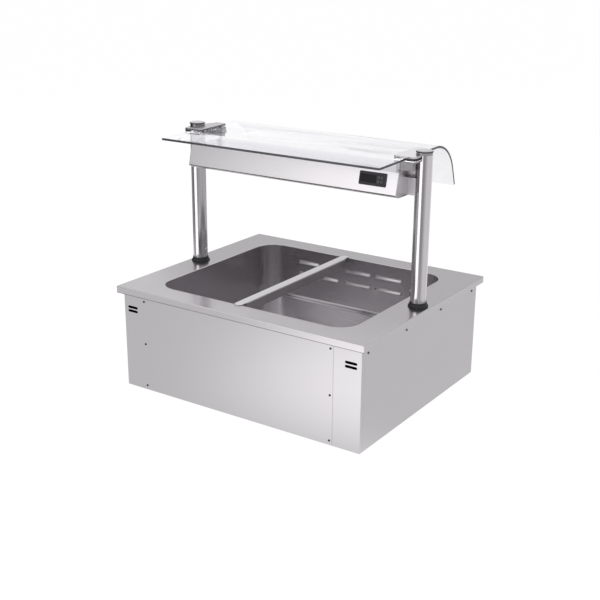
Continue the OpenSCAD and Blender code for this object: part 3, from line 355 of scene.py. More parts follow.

# %% The moulded and fired finishes
# Also black for the rings under the caps' rims: painted shade.
epdm_rubber_and_shade_black = moulded("moulded_epdm_rubber_and_painted_shade", "1B1B1D", 0.62, blotch=0.2)
abs_black = moulded("spark_eroded_abs_black", "353336", 0.5, grain_mm=0.3, gloss=0.15)
abs_key = moulded("spark_eroded_abs_key", "4A484B", 0.45, grain_mm=0.3, gloss=0.2)
nylon_black = moulded("moulded_nylon_black", "202022", 0.5)
abs_grey = moulded("moulded_abs_grey", "A6A8AB", 0.45)
steatite = moulded("glazed_steatite_ceramic", "E9E4D6", 0.25, grain_mm=1.5, dent=0.05,
                   blotch=0.04, ior=1.55)
# Black for the strips under the skirt: painted shade.
shade_black = moulded("painted_shade_black", "1C1B1D", 0.85, grain_mm=0.8, dent=0.4, blotch=0.2)
mineral_wool = moulded("pressed_mineral_wool", "B7A566", 0.9, grain_mm=3.0, dent=0.9, blotch=0.3)
window_acrylic = moulded("tinted_acrylic", "1A191B", 0.12, dent=0.0, blotch=0.05, ior=1.49, gloss=0.1)
# Pale white for the lower halves of the pads and a side of the left riser: painted light.
painted_light_pale = moulded("painted_light_pale_white", "E4E2E4", 0.4, dent=0.05, blotch=0.03)

# %% [markdown]
# ### Glass
# Float glass is nearly colourless through its thin side, and a little of the light is lost in it.
# Light that bends in and out of a flat sheet leaves in the direction that it came in, so the
# sheet can be drawn as a clear layer with a mirror on it, and the lamps still reach what lies
# under it. How much it mirrors follows from its refractive index of 1.5, and Fresnel's formula
# gives that. The Fresnel node turns the index round on a back face, so it is turned back there,
# because both faces of a sheet mirror alike.
#
# The edge is ground and polished. There the light runs the long way through the sheet, so the
# edge looks dark, and it gets its own material. The heat lamps' quartz tubes are slightly milky.

# %% The glasses
WHITE = (1, 1, 1, 1)
GLASS_INDEX = 1.5

def clouded(tree, shader, scale, code, other_code):
    place = add_node(tree, "ShaderNodeTexCoord")
    cloud = add_node(tree, "ShaderNodeTexNoise", inputs={
        "Vector": place.outputs["Object"], "Scale": scale, "Detail": 2.0})
    tone = add_node(tree, "ShaderNodeMix", {"data_type": "RGBA"}, {
        "Factor": cloud.outputs["Fac"], 6: linear(code), 7: linear(other_code)})
    tree.links.new(tone.outputs[2], shader.inputs["Base Color"])
    return tone.outputs[2]

edge_glass, tree, shader = new_material("float_glass_polished_edge", Roughness=0.12, IOR=GLASS_INDEX)
clouded(tree, shader, 22.0, "2C2D30", "4B4C50")

quartz, tree, shader = new_material("fused_quartz_tube", Roughness=0.15, IOR=1.46,
                                    Transmission_Weight=0.6)
clouded(tree, shader, 60.0, "F1EBDD", "E6DFCF")

sheet_glass, tree, shader = new_material("float_glass_face", Roughness=0.0, IOR=GLASS_INDEX,
                                         Transmission_Weight=1.0)
tint = clouded(tree, shader, 3.0, "FCFCFD", "FAFAFC")
clear = add_node(tree, "ShaderNodeBsdfTransparent", inputs={"Color": tint})
mirror = add_node(tree, "ShaderNodeBsdfGlossy", inputs={"Color": WHITE, "Roughness": 0.0})
side = add_node(tree, "ShaderNodeNewGeometry")
index = add_node(tree, "ShaderNodeMapRange", inputs={
    "Value": side.outputs["Backfacing"], "To Min": GLASS_INDEX, "To Max": 1 / GLASS_INDEX})
share = add_node(tree, "ShaderNodeFresnel", inputs={"IOR": index.outputs["Result"]})
sheet = add_node(tree, "ShaderNodeMixShader", inputs={
    0: share.outputs["Fac"], 1: clear.outputs[0], 2: mirror.outputs[0]})
tree.links.new(sheet.outputs[0], tree.nodes["Material Output"].inputs["Surface"])
print("materials:", len(bpy.data.materials))

# %% [markdown]
# ## The deck and the casing
# The deck is one sheet, bent down into a skirt and hemmed. The casing below it is folded sheet
# too. Their forms are right in CAD, so copies of them only get the radius that a press brake or a
# file leaves: half a millimetre on cut edges.

# %% Deck, casing and panel with eased edges
def at_opening(a, b):
    inside_x = max(abs(a.x), abs(b.x)) < WELL_HALF_X + 0.001
    inside_y = max(abs(a.y), abs(b.y)) < WELL_HALF_Y + 0.001
    return inside_x and inside_y and min(a.z, b.z) > DECK_TOP - 2 * NEAR

eased("deck", "folded_deck", deck_steel, 0.0005, roll=at_opening, roll_radius=0.0014)
front = eased("front_casing", "folded_front", casing_steel, 0.0002)
eased("left_casing", "folded_left_side", casing_steel, 0.0004)
eased("right_casing", "folded_right_side", casing_steel, 0.0004)
eased("back_casing", "folded_back", casing_steel, 0.0004)
eased("service_panel", "screwed_panel", casing_steel, 0.0003)

# %% [markdown]
# The bar across the well is folded with wide round edges, and its top is painted lighter than its
# sides: painted light. One piece may show two finishes: both stay on one mesh, and a rule on a face's
# place and direction says which faces get the second one.

# %% The bar, with a top painted light
def second_finish(piece, finish, rule):
    piece.data.materials.append(finish)
    for face in piece.data.polygons:
        if rule(face.center, face.normal):
            face.material_index = 1

BAR_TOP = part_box("support_bar")[1].z

def at_bar_top(a, b):
    return min(a.z, b.z) > BAR_TOP - 3 * NEAR and abs(a.y - b.y) > 0.3

bar = eased("support_bar", "loose_pan_bar", bar_steel, 0.0004, body="support_bar",
            roll=at_bar_top, roll_radius=0.004)
# The top faces get the lighter steel: painted light.
second_finish(bar, lit_top_steel, lambda centre, normal: normal.z > 0.99)

# %% [markdown]
# The four vents are punched slots with round ends. In the photograph they are a little bolder
# than in CAD, so they are cut again, 7.4 mm high. A slot is a round rod with one half pulled away
# from the other, which is the quickest way to a shape with round ends.

# %% Punch the vents again
def pull_long(piece, by):
    pick(piece, "VERT", lambda co: co.x > NEAR)
    bpy.ops.transform.translate(value=(by, 0, 0))
    bpy.ops.object.mode_set(mode="OBJECT")

def slot_rod(start, y, z, length, radius):
    rod = new_piece(bpy.ops.mesh.primitive_cylinder_add, vertices=24, radius=radius, depth=0.02,
                    rotation=(math.pi / 2, 0, 0))
    pull_long(rod, length - 2 * radius)
    rod.location = (start + radius, y, z)
    return rod

VENT_L, VENT_R = 0.035, 0.0037
VENT_IN, VENT_DROP, VENT_PITCH = 0.030, 0.059, 0.011
front_low, front_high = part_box("front_casing")
for side in (-1, 1):
    for row in (0, 1):
        start = side * (front_high.x - VENT_IN) - VENT_L / 2
        height = DECK_TOP - VENT_DROP - VENT_PITCH * row
        cut_away(front, slot_rod(start, front_low.y, height, VENT_L, VENT_R))
weigh_normals(front)
print("vents:", len(front.data.polygons), "faces")

# %% [markdown]
# Under the skirt lies a thin line of shade, along the front and none along the side. It is painted
# shade: black strips lie under the skirt where only shade falls, and from above only their edge
# shows, as that thin dark line. So the strips lie along the front and the back: two flat bars,
# joined.

# %% Black strips for the shade under the skirt
SHADE_T, SHADE_W, SHADE_IN, SHADE_SHORT = 0.0012, 0.007, 0.0002, 0.0015
skirt_low, skirt_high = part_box("deck")
strips = []
for side in (1, -1):
    strips.append(new_piece(
        bpy.ops.mesh.primitive_cube_add, size=1,
        location=(0, side * (skirt_high.y - SHADE_IN - SHADE_W / 2), skirt_low.z - SHADE_T / 2),
        scale=(2 * (skirt_high.x - SHADE_SHORT), SHADE_W, SHADE_T)))
shade_strips = joined(strips)
modify(shade_strips, "BEVEL", width=0.0002, segments=2, limit_method="ANGLE", angle_limit=math.radians(40))
smooth(shade_strips, 35)
settle(shade_strips, "skirt_shade_strips", shade_black)

# %% [markdown]
# ## The well
# The well is a pressed tub: four walls with round corners and a small radius round the floor. It
# could be cut from a solid block with booleans. A box with its lid removed is closer to how it
# is formed: its upright edges are rounded first, then the edge round the floor. The floor is
# pressed a little deeper than its foot, which is what draws two bright lines there, and the
# sheet gets its thickness last, outwards, so the inside keeps its size.

# %% Press the tub
LEDGE_UP, LEDGE_W, LEDGE_FOLD, FOOT_R = 0.0018, 0.006, 0.0022, 0.008
rim = DECK_TOP - DECK_SHEET
ledge = WELL_FLOOR + LEDGE_UP
tub = new_piece(bpy.ops.mesh.primitive_cube_add, size=1, location=(0, 0, (ledge + rim) / 2),
                scale=(2 * WELL_HALF_X, 2 * WELL_HALF_Y, rim - ledge))
pick(tub, "FACE", lambda centre, normal: normal.z > 0.5)
bpy.ops.mesh.delete(type="FACE")
upright = pick(tub, "EDGE", lambda a, b: abs(a.z - b.z) > 0.05)
bpy.ops.mesh.bevel(offset=WELL_CORNER, segments=16, affect="EDGES")
pick(tub, "EDGE", lambda a, b: max(a.z, b.z) < ledge + NEAR)
bpy.ops.mesh.bevel(offset=FOOT_R, segments=6, affect="EDGES")
pick(tub, "FACE", lambda centre, normal: abs(centre.z - ledge) < NEAR and abs(normal.z) > 0.999)
bpy.ops.mesh.inset(thickness=LEDGE_W)
bpy.ops.mesh.inset(thickness=LEDGE_FOLD)
bpy.ops.transform.translate(value=(0, 0, WELL_FLOOR - ledge))
bpy.ops.mesh.select_all(action="SELECT")
bpy.ops.mesh.normals_make_consistent(inside=True)
modify(tub, "SOLIDIFY", thickness=WELL_SHEET, offset=-1, use_rim=True)
print("upright edges rounded:", upright, "faces:", len(tub.data.polygons))

# %% [markdown]
# Warm air leaves and enters through two rows of slots in the back wall.

# %% Cut the air slots
SLOTS = [(-0.195, 0.074), (-0.107, 0.057), (-0.026, 0.089), (0.080, 0.089)]
SLOT_ROWS = (DECK_TOP - 0.043, DECK_TOP - 0.081)
SLOT_R = 0.0045

cutters = [slot_rod(start, WELL_HALF_Y, z, length, SLOT_R)
           for z in SLOT_ROWS for start, length in SLOTS]
cut_away(tub, joined(cutters))
smooth(tub, 32)
settle(tub, "pressed_well", well_steel, stands_for=["well_tank"])

# %% [markdown]
# Round each slot the punch has drawn the steel up into a small rounded lip, which catches the
# light above and below the gap. A thin ring, pulled long in the same way as the slot, does that.
# The punched steel is still there inside it: a tongue whose top is pressed back, so that the air
# is guided and no food falls in. In the photograph it fills the slots with a pale grey.

# %% Lips and tongues of the slots
LIP_T, LIP_PROUD = 0.0013, 0.0003
TONGUE_LEAN, TONGUE_SHORT, TONGUE_T, TONGUE_H = math.radians(20), 0.005, 0.0006, 0.0082
TONGUE_BACK, TONGUE_LOW = 0.0007, 0.0003
lips, tongues = [], []
for z in SLOT_ROWS:
    for start, length in SLOTS:
        lip = new_piece(bpy.ops.mesh.primitive_torus_add, major_radius=SLOT_R + 0.0002,
                        minor_radius=LIP_T, major_segments=32, minor_segments=10,
                        rotation=(math.pi / 2, 0, 0))
        pull_long(lip, length - 2 * SLOT_R)
        lip.location = (start + SLOT_R, WELL_HALF_Y - LIP_PROUD, z)
        lips.append(lip)
        bpy.ops.object.select_all(action="DESELECT")
        bpy.ops.mesh.primitive_cube_add(
            size=1, rotation=(-TONGUE_LEAN, 0, 0),
            location=(start + length / 2, WELL_HALF_Y + TONGUE_BACK, z - TONGUE_LOW),
            scale=(length - TONGUE_SHORT, TONGUE_T, TONGUE_H))
        tongue = bpy.context.object
        modify(tongue, "BEVEL", width=0.0002, segments=2)
        tongues.append(tongue)
for parts, name, finish in ((lips, "drawn_slot_lips", bar_steel),
                            (tongues, "slot_tongues", tongue_steel)):
    whole = joined(parts)
    smooth(whole, 35)
    settle(whole, name, finish)

# %% [markdown]
# ## Screws
# The panel and the side sheets are held by pan-head screws with a cross recess. The head is a
# short rod with its rim rounded, and the recess is cut by two crossed blades. It is made once,
# and every other screw is a copy with its own mesh.

# %% One pan-head screw
HEAD_R, HEAD_H, HEAD_ROUND = 0.003, 0.0016, 0.0009
RECESS_L, RECESS_W, RECESS_H = 0.0034, 0.0008, 0.0018
head = new_piece(bpy.ops.mesh.primitive_cylinder_add, vertices=28, radius=HEAD_R, depth=HEAD_H,
                 location=(0, 0, HEAD_H / 2))
pick(head, "EDGE", lambda a, b: min(a.z, b.z) > HEAD_H - NEAR)
bpy.ops.mesh.bevel(offset=HEAD_ROUND, segments=4, affect="EDGES")
bpy.ops.object.mode_set(mode="OBJECT")
for turn in (0, math.pi / 2):
    cut_away(head, new_piece(bpy.ops.mesh.primitive_cube_add, size=1, location=(0, 0, HEAD_H),
                             rotation=(0, 0, turn), scale=(RECESS_L, RECESS_W, RECESS_H)))
smooth(head, 35)
print("screw head:", len(head.data.polygons), "faces")

# %% [markdown]
# The screws' places follow from the panel's and the side's boxes. Each copy is turned so that its
# top faces out of the sheet.

# %% Copies at every screw hole
def turned_to(direction, axis="Z"):
    return Vector(direction).to_track_quat(axis, "Y").to_matrix().to_4x4()

def screw_row(name, places, stands_for):
    copies = []
    for place, direction in places:
        copy = head.copy()
        copy.data = head.data.copy()
        bpy.context.scene.collection.objects.link(copy)
        copy.matrix_world = Matrix.Translation(place) @ turned_to(direction)
        copies.append(copy)
    settle(joined(copies), name, screw_steel, stands_for=[stands_for])

PANEL_SCREW_IN, PANEL_SCREW_UP = 0.008, 0.010
SIDE_SCREW_END, SIDE_SCREW_DROP = 0.2895, 0.035
panel_low, panel_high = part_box("service_panel")
panel_rows = (panel_low.z + PANEL_SCREW_UP, (panel_low.z + panel_high.z) / 2,
              panel_high.z - PANEL_SCREW_UP)
panel_places = [((x, panel_low.y, z), (0, -1, 0))
                for x in (panel_low.x + PANEL_SCREW_IN, panel_high.x - PANEL_SCREW_IN)
                for z in panel_rows]
side_x, side_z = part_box("right_casing")[1].x, DECK_TOP - SIDE_SCREW_DROP
side_places = [((side * side_x, (2 * i / 3 - 1) * SIDE_SCREW_END, side_z), (side, 0, 0))
               for side in (-1, 1) for i in range(4)]
screw_row("panel_screw_heads", panel_places, "service_panel_screws")
screw_row("side_screw_heads", side_places, "side_screws")
bpy.data.objects.remove(head)

# %% [markdown]
# ## The bent glass
# A glass screen like this is a flat sheet that was softened over a mould, so it is flat, then
# round, then flat again, with the same thickness all the way. The path matters more than the
# volume. So the underside is drawn first: a flat face, its back edge spun round the axis of the
# bend, and that edge pushed on in a straight line. Solidify then lays the thickness on it.
#
# The operator that adds a plane ignores a scale, so the plane is scaled afterwards.

# %% Draw the underside of the glass and bend it
GLASS_L, GLASS_T, GLASS_CORNER = 0.685, 0.006, 0.002
BEND_R, BEND_TURN = 0.1006, math.radians(72.5)
FRONT, BACK, SKIRT = 0.184, 0.116, 0.053

def round_corners(rule):
    pick(glass, "VERT", rule)
    bpy.ops.mesh.bevel(offset=GLASS_CORNER, segments=3, affect="VERTICES")

bpy.ops.object.select_all(action="DESELECT")
bpy.ops.mesh.primitive_plane_add(size=1, location=(0, (BACK - FRONT) / 2, 0))
glass = only(bpy.context.object)
glass.scale = (GLASS_L, BACK + FRONT, 1)
bpy.ops.object.transform_apply(location=True, rotation=True, scale=True)
round_corners(lambda co: co.y < 0)
pick(glass, "EDGE", lambda a, b: min(a.y, b.y) > BACK - NEAR)
bpy.ops.mesh.spin(steps=36, angle=BEND_TURN, center=(0, BACK, -BEND_R), axis=(1, 0, 0))
bpy.ops.object.mode_set(mode="OBJECT")
edge_y = max(v.co.y for v in glass.data.vertices)
pick(glass, "EDGE", lambda a, b: min(a.y, b.y) > edge_y - NEAR)
bpy.ops.mesh.extrude_region_move(TRANSFORM_OT_translate={
    "value": (0, SKIRT * math.cos(BEND_TURN), -SKIRT * math.sin(BEND_TURN))})
bpy.ops.object.mode_set(mode="OBJECT")
low_z = min(v.co.z for v in glass.data.vertices)
round_corners(lambda co: co.z < low_z + NEAR)
bpy.ops.mesh.select_all(action="SELECT")
bpy.ops.mesh.remove_doubles(threshold=0.00001)
bpy.ops.mesh.normals_make_consistent(inside=False)
bpy.ops.object.mode_set(mode="OBJECT")
flat = [f for f in glass.data.polygons if f.center.y < 0]
print("flat part faces up:", flat[0].normal.z > 0, "lowest point", round(low_z, 4),
      "reach", round(edge_y, 4))

# %% [markdown]
# The flat part faces up, as the last line of the cell above prints, so the thickness is laid on
# above it. The clamps' studs pass through four drilled holes, and the polished edge gets a small
# chamfer.
#
# The photograph shows the lower edge and the left end as pale as the sheet, so these two have the
# clear face's material. Last, the sheet is set at its slight slope.

# %% Thickness, holes and chamfer
glass.data.materials.append(sheet_glass)
glass.data.materials.append(edge_glass)
modify(glass, "SOLIDIFY", thickness=GLASS_T, offset=1, use_rim=True, material_offset_rim=1,
       use_even_offset=True)
STUD_X, STUD_Y, STUD_HOLE_R = 0.315, 0.039, 0.004
for x in (-STUD_X, STUD_X):
    for y in (-STUD_Y, STUD_Y):
        cut_away(glass, new_piece(bpy.ops.mesh.primitive_cylinder_add, vertices=32,
                                  radius=STUD_HOLE_R, depth=0.05, location=(x, y, 0)))
modify(glass, "BEVEL", width=0.0007, segments=2, limit_method="ANGLE",
       angle_limit=math.radians(50), material=1)
LOWER_BAND, END_BAND = 0.0025, 0.0003
for face in glass.data.polygons:
    at_lower_edge = face.center.z < low_z + LOWER_BAND
    at_left_end = face.center.x < END_BAND - GLASS_L / 2
    if at_lower_edge or at_left_end:
        face.material_index = 0
smooth(glass, 25)
slope = Matrix.Rotation(GLASS_TILT, 4, "X")
glass.matrix_world = Matrix.Translation((0, POST_Y, GLASS_UNDERSIDE)) @ slope
settle(glass, "bent_glass", None, stands_for=["glass_screen"])
print("glass box", [[round(v, 4) for v in glass.bound_box[i]] for i in (0, 6)])

# %% [markdown]
# ## Clamps, rubber and posts
# The upper clamp plates are thick, so their edges are rounded by hand with a file: nearly a
# millimetre. The lower plates are thinner and get less.
#
# The two ends look unlike each other, though their plates are alike. The left upper plate is painted
# darker, with darker edges: painted shade. The right one is bright. The left lower plate is painted
# pale, with one side of its upright riser as pale as the pads: painted light. The right one is
# painted darker, for the shade it lies in.

# %% Clamp plates
left_top = eased("left_upper_clamp", "left_top_plate", painted_shade_plate, 0.0008, segments=3)
# The left top plate's upright edges get the darker steel: painted shade.
second_finish(left_top, painted_shade_steel, lambda centre, normal: abs(normal.z) < 0.5)
# The left lower plate gets the pale metal, and its riser's +x side the pale white of the pads:
# painted light.
left_under = eased("left_lower_clamp", "left_under_plate", blasted_metal_and_painted_light, 0.0005)
second_finish(left_under, painted_light_pale, lambda centre, normal: normal.x > 0.5)
eased("right_upper_clamp", "right_top_plate", plate_steel, 0.0008, segments=3)
eased("right_lower_clamp", "right_under_plate", under_steel, 0.0005)

# %% [markdown]
# Each pad of rubber wraps the glass's end. Its upper half shows black at the rim. The half under the
# glass and the wall against its end are painted pale: painted light, for the white that shows there.
# The pad's sides are single faces from top to bottom, so they are first cut in two along the
# underside.

# %% Pads in two tones
PAD_CUT, WALL_GAP, WALL_BAND = 0.0002, 0.0003, 0.0008
glass_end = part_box("glass_screen")[1].x

def painted_light_on_pad(centre, normal):
    under = centre.z < GLASS_UNDERSIDE + (centre.y - POST_Y) * math.tan(GLASS_TILT) + PAD_CUT
    at_wall = abs(abs(centre.x) - glass_end - WALL_GAP) < WALL_BAND
    return under or (at_wall and abs(normal.x) > 0.9)

for side in ("left", "right"):
    pad = eased(side + "_gasket", side + "_rubber_pad", epdm_rubber_and_shade_black, 0.0004)
    pick(pad, "VERT", lambda co: True)
    bpy.ops.mesh.bisect(plane_co=(0, POST_Y, GLASS_UNDERSIDE + PAD_CUT),
                        plane_no=(0, -math.sin(GLASS_TILT), math.cos(GLASS_TILT)))
    bpy.ops.object.mode_set(mode="OBJECT")
    second_finish(pad, painted_light_pale, painted_light_on_pad)

# %% [markdown]
# The feet, the caps, the housing's ends and the blocks beside them only need their edges eased.

# %% Feet, caps, ends and blocks
for side in ("left", "right"):
    eased(side + "_foot_ring", side + "_rubber_foot", epdm_rubber_and_shade_black, 0.0005, segments=3)
    eased(side + "_cap", side + "_turned_cap", turned_steel, 0.0003)
    eased(side + "_end_cap", side + "_housing_end", end_steel, 0.0003)
eased("hanger_blocks", "cast_hanger_blocks", blasted_metal_and_painted_light, 0.0008, segments=3)

# %% [markdown]
# The lamp housing is a folded trough. Its lower front edge is folded round a 3 mm radius. The lower
# side of that fold looks down into shade and draws a darker line, so its faces are painted darker:
# painted shade.

# %% Lamp housing
HOUSING_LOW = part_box("lamp_housing")[0]
FOLD_H, FOLD_W, FOLD_R = 0.012, 0.004, 0.003

def at_front_fold(a, b):
    low = max(a.z, b.z) < HOUSING_LOW.z + FOLD_H
    return low and max(a.y, b.y) < HOUSING_LOW.y + 4 * NEAR and abs(a.x - b.x) > 0.3

def under_front_fold(centre, normal):
    low = centre.z < HOUSING_LOW.z + FOLD_H
    return low and centre.y < HOUSING_LOW.y + FOLD_W and normal.z < -0.05

housing = eased("lamp_housing", "folded_lamp_housing", housing_steel, 0.0004,
                roll=at_front_fold, roll_radius=FOLD_R)
# The fold's underside gets the darker steel: painted shade.
second_finish(housing, painted_shade_steel, under_front_fold)

# %% [markdown]
# Each cap is a disc on a slightly narrower neck. Under the disc's rim lies a dark line of shade, and
# a black ring round the rim paints it: painted shade. A torus is exactly such a ring.

# %% Black rings for the shade under the caps
RING_R, RING_T, RING_DROP = 0.0207, 0.0017, 0.0032
CAP_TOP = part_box("right_cap")[1].z
for side, x in (("left", -POST_X), ("right", POST_X)):
    ring = new_piece(bpy.ops.mesh.primitive_torus_add, major_radius=RING_R, minor_radius=RING_T,
                     major_segments=64, minor_segments=12, location=(x, POST_Y, CAP_TOP - RING_DROP))
    bpy.ops.object.shade_smooth()
    settle(ring, side + "_cap_shade_ring", epdm_rubber_and_shade_black)

# %% [markdown]
# ## The controller
# The controller is a moulded case with a dark window and four keys. Its edges are small, so they
# get small radii, and each key keeps its own body, because it can be pressed.

# %% Controller and keys
eased("controller_body", "controller_case", abs_black, 0.0004, segments=3)
eased("controller_window", "controller_glazing", window_acrylic, 0.0002)
for number in range(1, 5):
    eased(f"key_{number}", f"push_key_{number}", abs_key, 0.0005, body=f"key_{number}", segments=3)

# %% [markdown]
# ## Finishes for the pieces that keep their CAD form
# Everything else already has its real outline. Each piece gets the finish of what it is made of.

# %% Hand out the finishes
finishes = {
    tube_steel: ["left_post", "right_post"],
    plate_steel: ["lock_screws", "clamp_spacers", "drain_outlet", "drain_strainer", "well_probe",
                  "lamp_guard"],
    zinc_steel: ["left_bearer", "right_bearer", "post_bolts", "foot_plugs", "clamp_studs",
                 "element_clips", "housing_bulkhead", "fan_motor"],
    well_steel: ["air_duct", "duct_baffle", "base_tray"],
    sheath_steel: ["floor_element", "air_heater"],
    mirror_metal: ["reflector"],
    quartz: ["heat_lamps"],
    steatite: ["lamp_holders"],
    nylon_black: ["cable_gland", "safety_thermostat", "fan_wheel"],
    abs_grey: ["terminal_box"],
    mineral_wool: ["insulation_slab"],
}
for finish, names in finishes.items():
    for node_name in names:
        mesh = nodes[node_name].data
        mesh.materials.clear()
        mesh.materials.append(finish)
print("finished as in CAD:", sum(len(v) for v in finishes.values()))

# %% [markdown]
# ## The studio
# A catalogue picture of steel is mostly a picture of what the steel mirrors. The floor is white
# to the camera and through glass. In a mirror it is a bright pool in front of the unit that fades
# with the distance. For plain light it is dimmer paper, so that a colour renders about as it is
# written.

# %% Floor
SEEN_LEVEL, SEEN_SHARE, MIRRORED_SHARE = 1.03, 0.93, 0.99
POOL_PLACE, POOL_START, POOL_END = (0.30, -0.95, 0.0), 0.1, 0.92
POOL_LEVEL, FAR_LEVEL = 1.54, 0.75
bpy.ops.object.select_all(action="DESELECT")
bpy.ops.mesh.primitive_plane_add(size=40, location=(0, 0, -0.0005))
floor = bpy.context.object
floor.name = "studio_floor"
paper, tree, shader = new_material("matt_white_paper", Roughness=0.9)
shader.inputs["Base Color"].default_value = (0.8, 0.8, 0.8, 1)
path = add_node(tree, "ShaderNodeLightPath")
place = add_node(tree, "ShaderNodeTexCoord")
pool = add_node(tree, "ShaderNodeVectorMath", {"operation": "DISTANCE"}, {
    0: place.outputs["Object"], 1: POOL_PLACE})
glow = add_node(tree, "ShaderNodeMapRange", {"interpolation_type": "SMOOTHERSTEP"}, {
    "Value": pool.outputs["Value"], "From Min": POOL_START, "From Max": POOL_END,
    "To Min": POOL_LEVEL, "To Max": FAR_LEVEL})
bright = add_node(tree, "ShaderNodeEmission", inputs={"Color": WHITE, "Strength": SEEN_LEVEL})
mirrored = add_node(tree, "ShaderNodeEmission", inputs={
    "Color": WHITE, "Strength": glow.outputs["Result"]})
seen = add_node(tree, "ShaderNodeMath", {"operation": "MAXIMUM"}, {
    0: path.outputs["Is Camera Ray"], 1: path.outputs["Is Transmission Ray"]})
part_seen = add_node(tree, "ShaderNodeMath", {"operation": "MULTIPLY"}, {
    0: seen.outputs["Value"], 1: SEEN_SHARE})
part_mirrored = add_node(tree, "ShaderNodeMath", {"operation": "MULTIPLY"}, {
    0: path.outputs["Is Glossy Ray"], 1: MIRRORED_SHARE})
lit = add_node(tree, "ShaderNodeMixShader", inputs={
    0: part_seen.outputs["Value"], 1: shader.outputs[0], 2: bright.outputs[0]})
both = add_node(tree, "ShaderNodeMixShader", inputs={
    0: part_mirrored.outputs["Value"], 1: lit.outputs[0], 2: mirrored.outputs[0]})
tree.links.new(both.outputs[0], tree.nodes["Material Output"].inputs["Surface"])
floor.data.materials.append(paper)

# %% [markdown]
# The world works alike: full white to the camera and through glass, less in mirrors, and least as
# plain light.

# %% World
PLAIN_LEVEL, SEEN_MORE, MIRRORED_MORE = 0.60, 0.40, 0.22
world = bpy.data.worlds.new("white_studio")
bpy.context.scene.world = world
world.use_nodes = True
tree = world.node_tree
path = add_node(tree, "ShaderNodeLightPath")
seen = add_node(tree, "ShaderNodeMath", {"operation": "MAXIMUM"}, {
    0: path.outputs["Is Camera Ray"], 1: path.outputs["Is Transmission Ray"]})
mirrored = add_node(tree, "ShaderNodeMath", {"operation": "MULTIPLY"}, {
    0: path.outputs["Is Glossy Ray"], 1: MIRRORED_MORE})
level = add_node(tree, "ShaderNodeMath", {"operation": "MULTIPLY_ADD"}, {
    0: seen.outputs["Value"], 1: SEEN_MORE, 2: PLAIN_LEVEL})
total = add_node(tree, "ShaderNodeMath", {"operation": "ADD"}, {
    0: level.outputs["Value"], 1: mirrored.outputs["Value"]})
tree.links.new(total.outputs["Value"], tree.nodes["Background"].inputs["Strength"])
tree.nodes["Background"].inputs["Color"].default_value = WHITE

# %% [markdown]
# Cards stand round the object, out of the camera's sight, as a photographer would stand them.
# They give the steel something lighter or darker to mirror.

# %% Cards that only mirrors see
def card(name, centre, width, height, facing, level, level_far=None):
    bpy.ops.object.select_all(action="DESELECT")
    bpy.ops.mesh.primitive_plane_add(size=1)
    sheet = bpy.context.object
    sheet.name = name
    size = Matrix.Diagonal((width, height, 1, 1))
    sheet.matrix_world = Matrix.Translation(centre) @ turned_to(facing) @ size
    material, tree, shader = new_material(name + "_paper")
    place = add_node(tree, "ShaderNodeTexCoord")
    across = add_node(tree, "ShaderNodeSeparateXYZ", inputs={0: place.outputs["Object"]})
    change = add_node(tree, "ShaderNodeMapRange", inputs={
        "Value": across.outputs["X"], "From Min": -0.5, "From Max": 0.5,
        "To Min": level, "To Max": level if level_far is None else level_far})
    glow = add_node(tree, "ShaderNodeEmission", inputs={
        "Color": WHITE, "Strength": change.outputs["Result"]})
    tree.links.new(glow.outputs[0], tree.nodes["Material Output"].inputs["Surface"])
    sheet.data.materials.append(material)
    sheet.visible_camera = False
    sheet.visible_diffuse = False
    sheet.visible_transmission = False
    sheet.visible_shadow = False
    return sheet

card("white_card_behind_glass", (-0.30, 0.58, 0.88), 1.5, 0.28, (0, -1, 0), 1.1)
card("grey_back_card", (-0.3, 2.2, 0.9), 4.4, 1.8, (0, -1, 0), 0.62)
card("grey_front_card", (-1.8, -2.6, 1.25), 2.8, 1.7, (0, 1, 0), 2.3, 0.05)
card("dark_left_card", (-1.6, -0.25, 0.55), 2.1, 1.2, (1, 0, 0), 0.06)

# %% [markdown]
# A polished tube is a curved mirror: it squeezes half the studio into a few upright bands. A
# strip light near each post draws them where the photograph has them. Light linking limits a
# strip to its own post, so the sheets beside it stay as they are.
#
# Where does a strip have to stand so that its reflection starts a quarter of the way across the
# tube? The tube's surface there leans away from the camera by the arc sine of its place, and
# light leaves at twice that angle. One step from the surface along that line is the strip's edge.
# A lamp's power is shared out over its area, hence the product with width and height.

# %% Strips of light for the posts
CAMERA_PLACE = Vector((1.57040, -2.34974, 1.21014))
TUBE_R = 0.0212
STRIP_Z, STRIP_H, STRIP_FAR = 0.50, 0.42, 0.08
WATTS_PER_LEVEL = 4

def light_only(light, pieces):
    lit = bpy.data.collections.new("lit_by_" + light.name)
    for piece in pieces:
        lit.objects.link(piece)
    light.light_linking.receiver_collection = lit

def post_strip(name, x, left, right, level, level_right=None):
    foot = Vector((x, POST_Y, STRIP_Z))
    toward = CAMERA_PLACE - foot
    toward.z = 0
    toward.normalize()
    ends = []
    for share in (left, right):
        lean = math.asin(2 * share - 1)
        normal = Matrix.Rotation(lean, 3, "Z") @ toward
        away = Matrix.Rotation(2 * lean, 3, "Z") @ toward
        ends.append(foot + TUBE_R * normal + STRIP_FAR * away)
    middle = (ends[0] + ends[1]) / 2
    data = bpy.data.lights.new(f"strip_{name}_{round(100 * left)}", "AREA")
    data.shape, data.size, data.size_y = "RECTANGLE", (ends[1] - ends[0]).length, STRIP_H
    data.energy = WATTS_PER_LEVEL * data.size * data.size_y
    data.use_nodes = True
    tree = data.node_tree
    place = add_node(tree, "ShaderNodeNewGeometry")
    across = add_node(tree, "ShaderNodeSeparateXYZ", inputs={0: place.outputs["Parametric"]})
    change = add_node(tree, "ShaderNodeMapRange", inputs={
        "Value": across.outputs["X"],
        "To Min": level, "To Max": level if level_right is None else level_right})
    tree.links.new(change.outputs["Result"], tree.nodes["Emission"].inputs["Strength"])
    lamp = bpy.data.objects.new(data.name, data)
    bpy.context.scene.collection.objects.link(lamp)
    lamp.matrix_world = Matrix.Translation(middle) @ turned_to(foot - middle, "-Z")
    light_only(lamp, [nodes[name]])

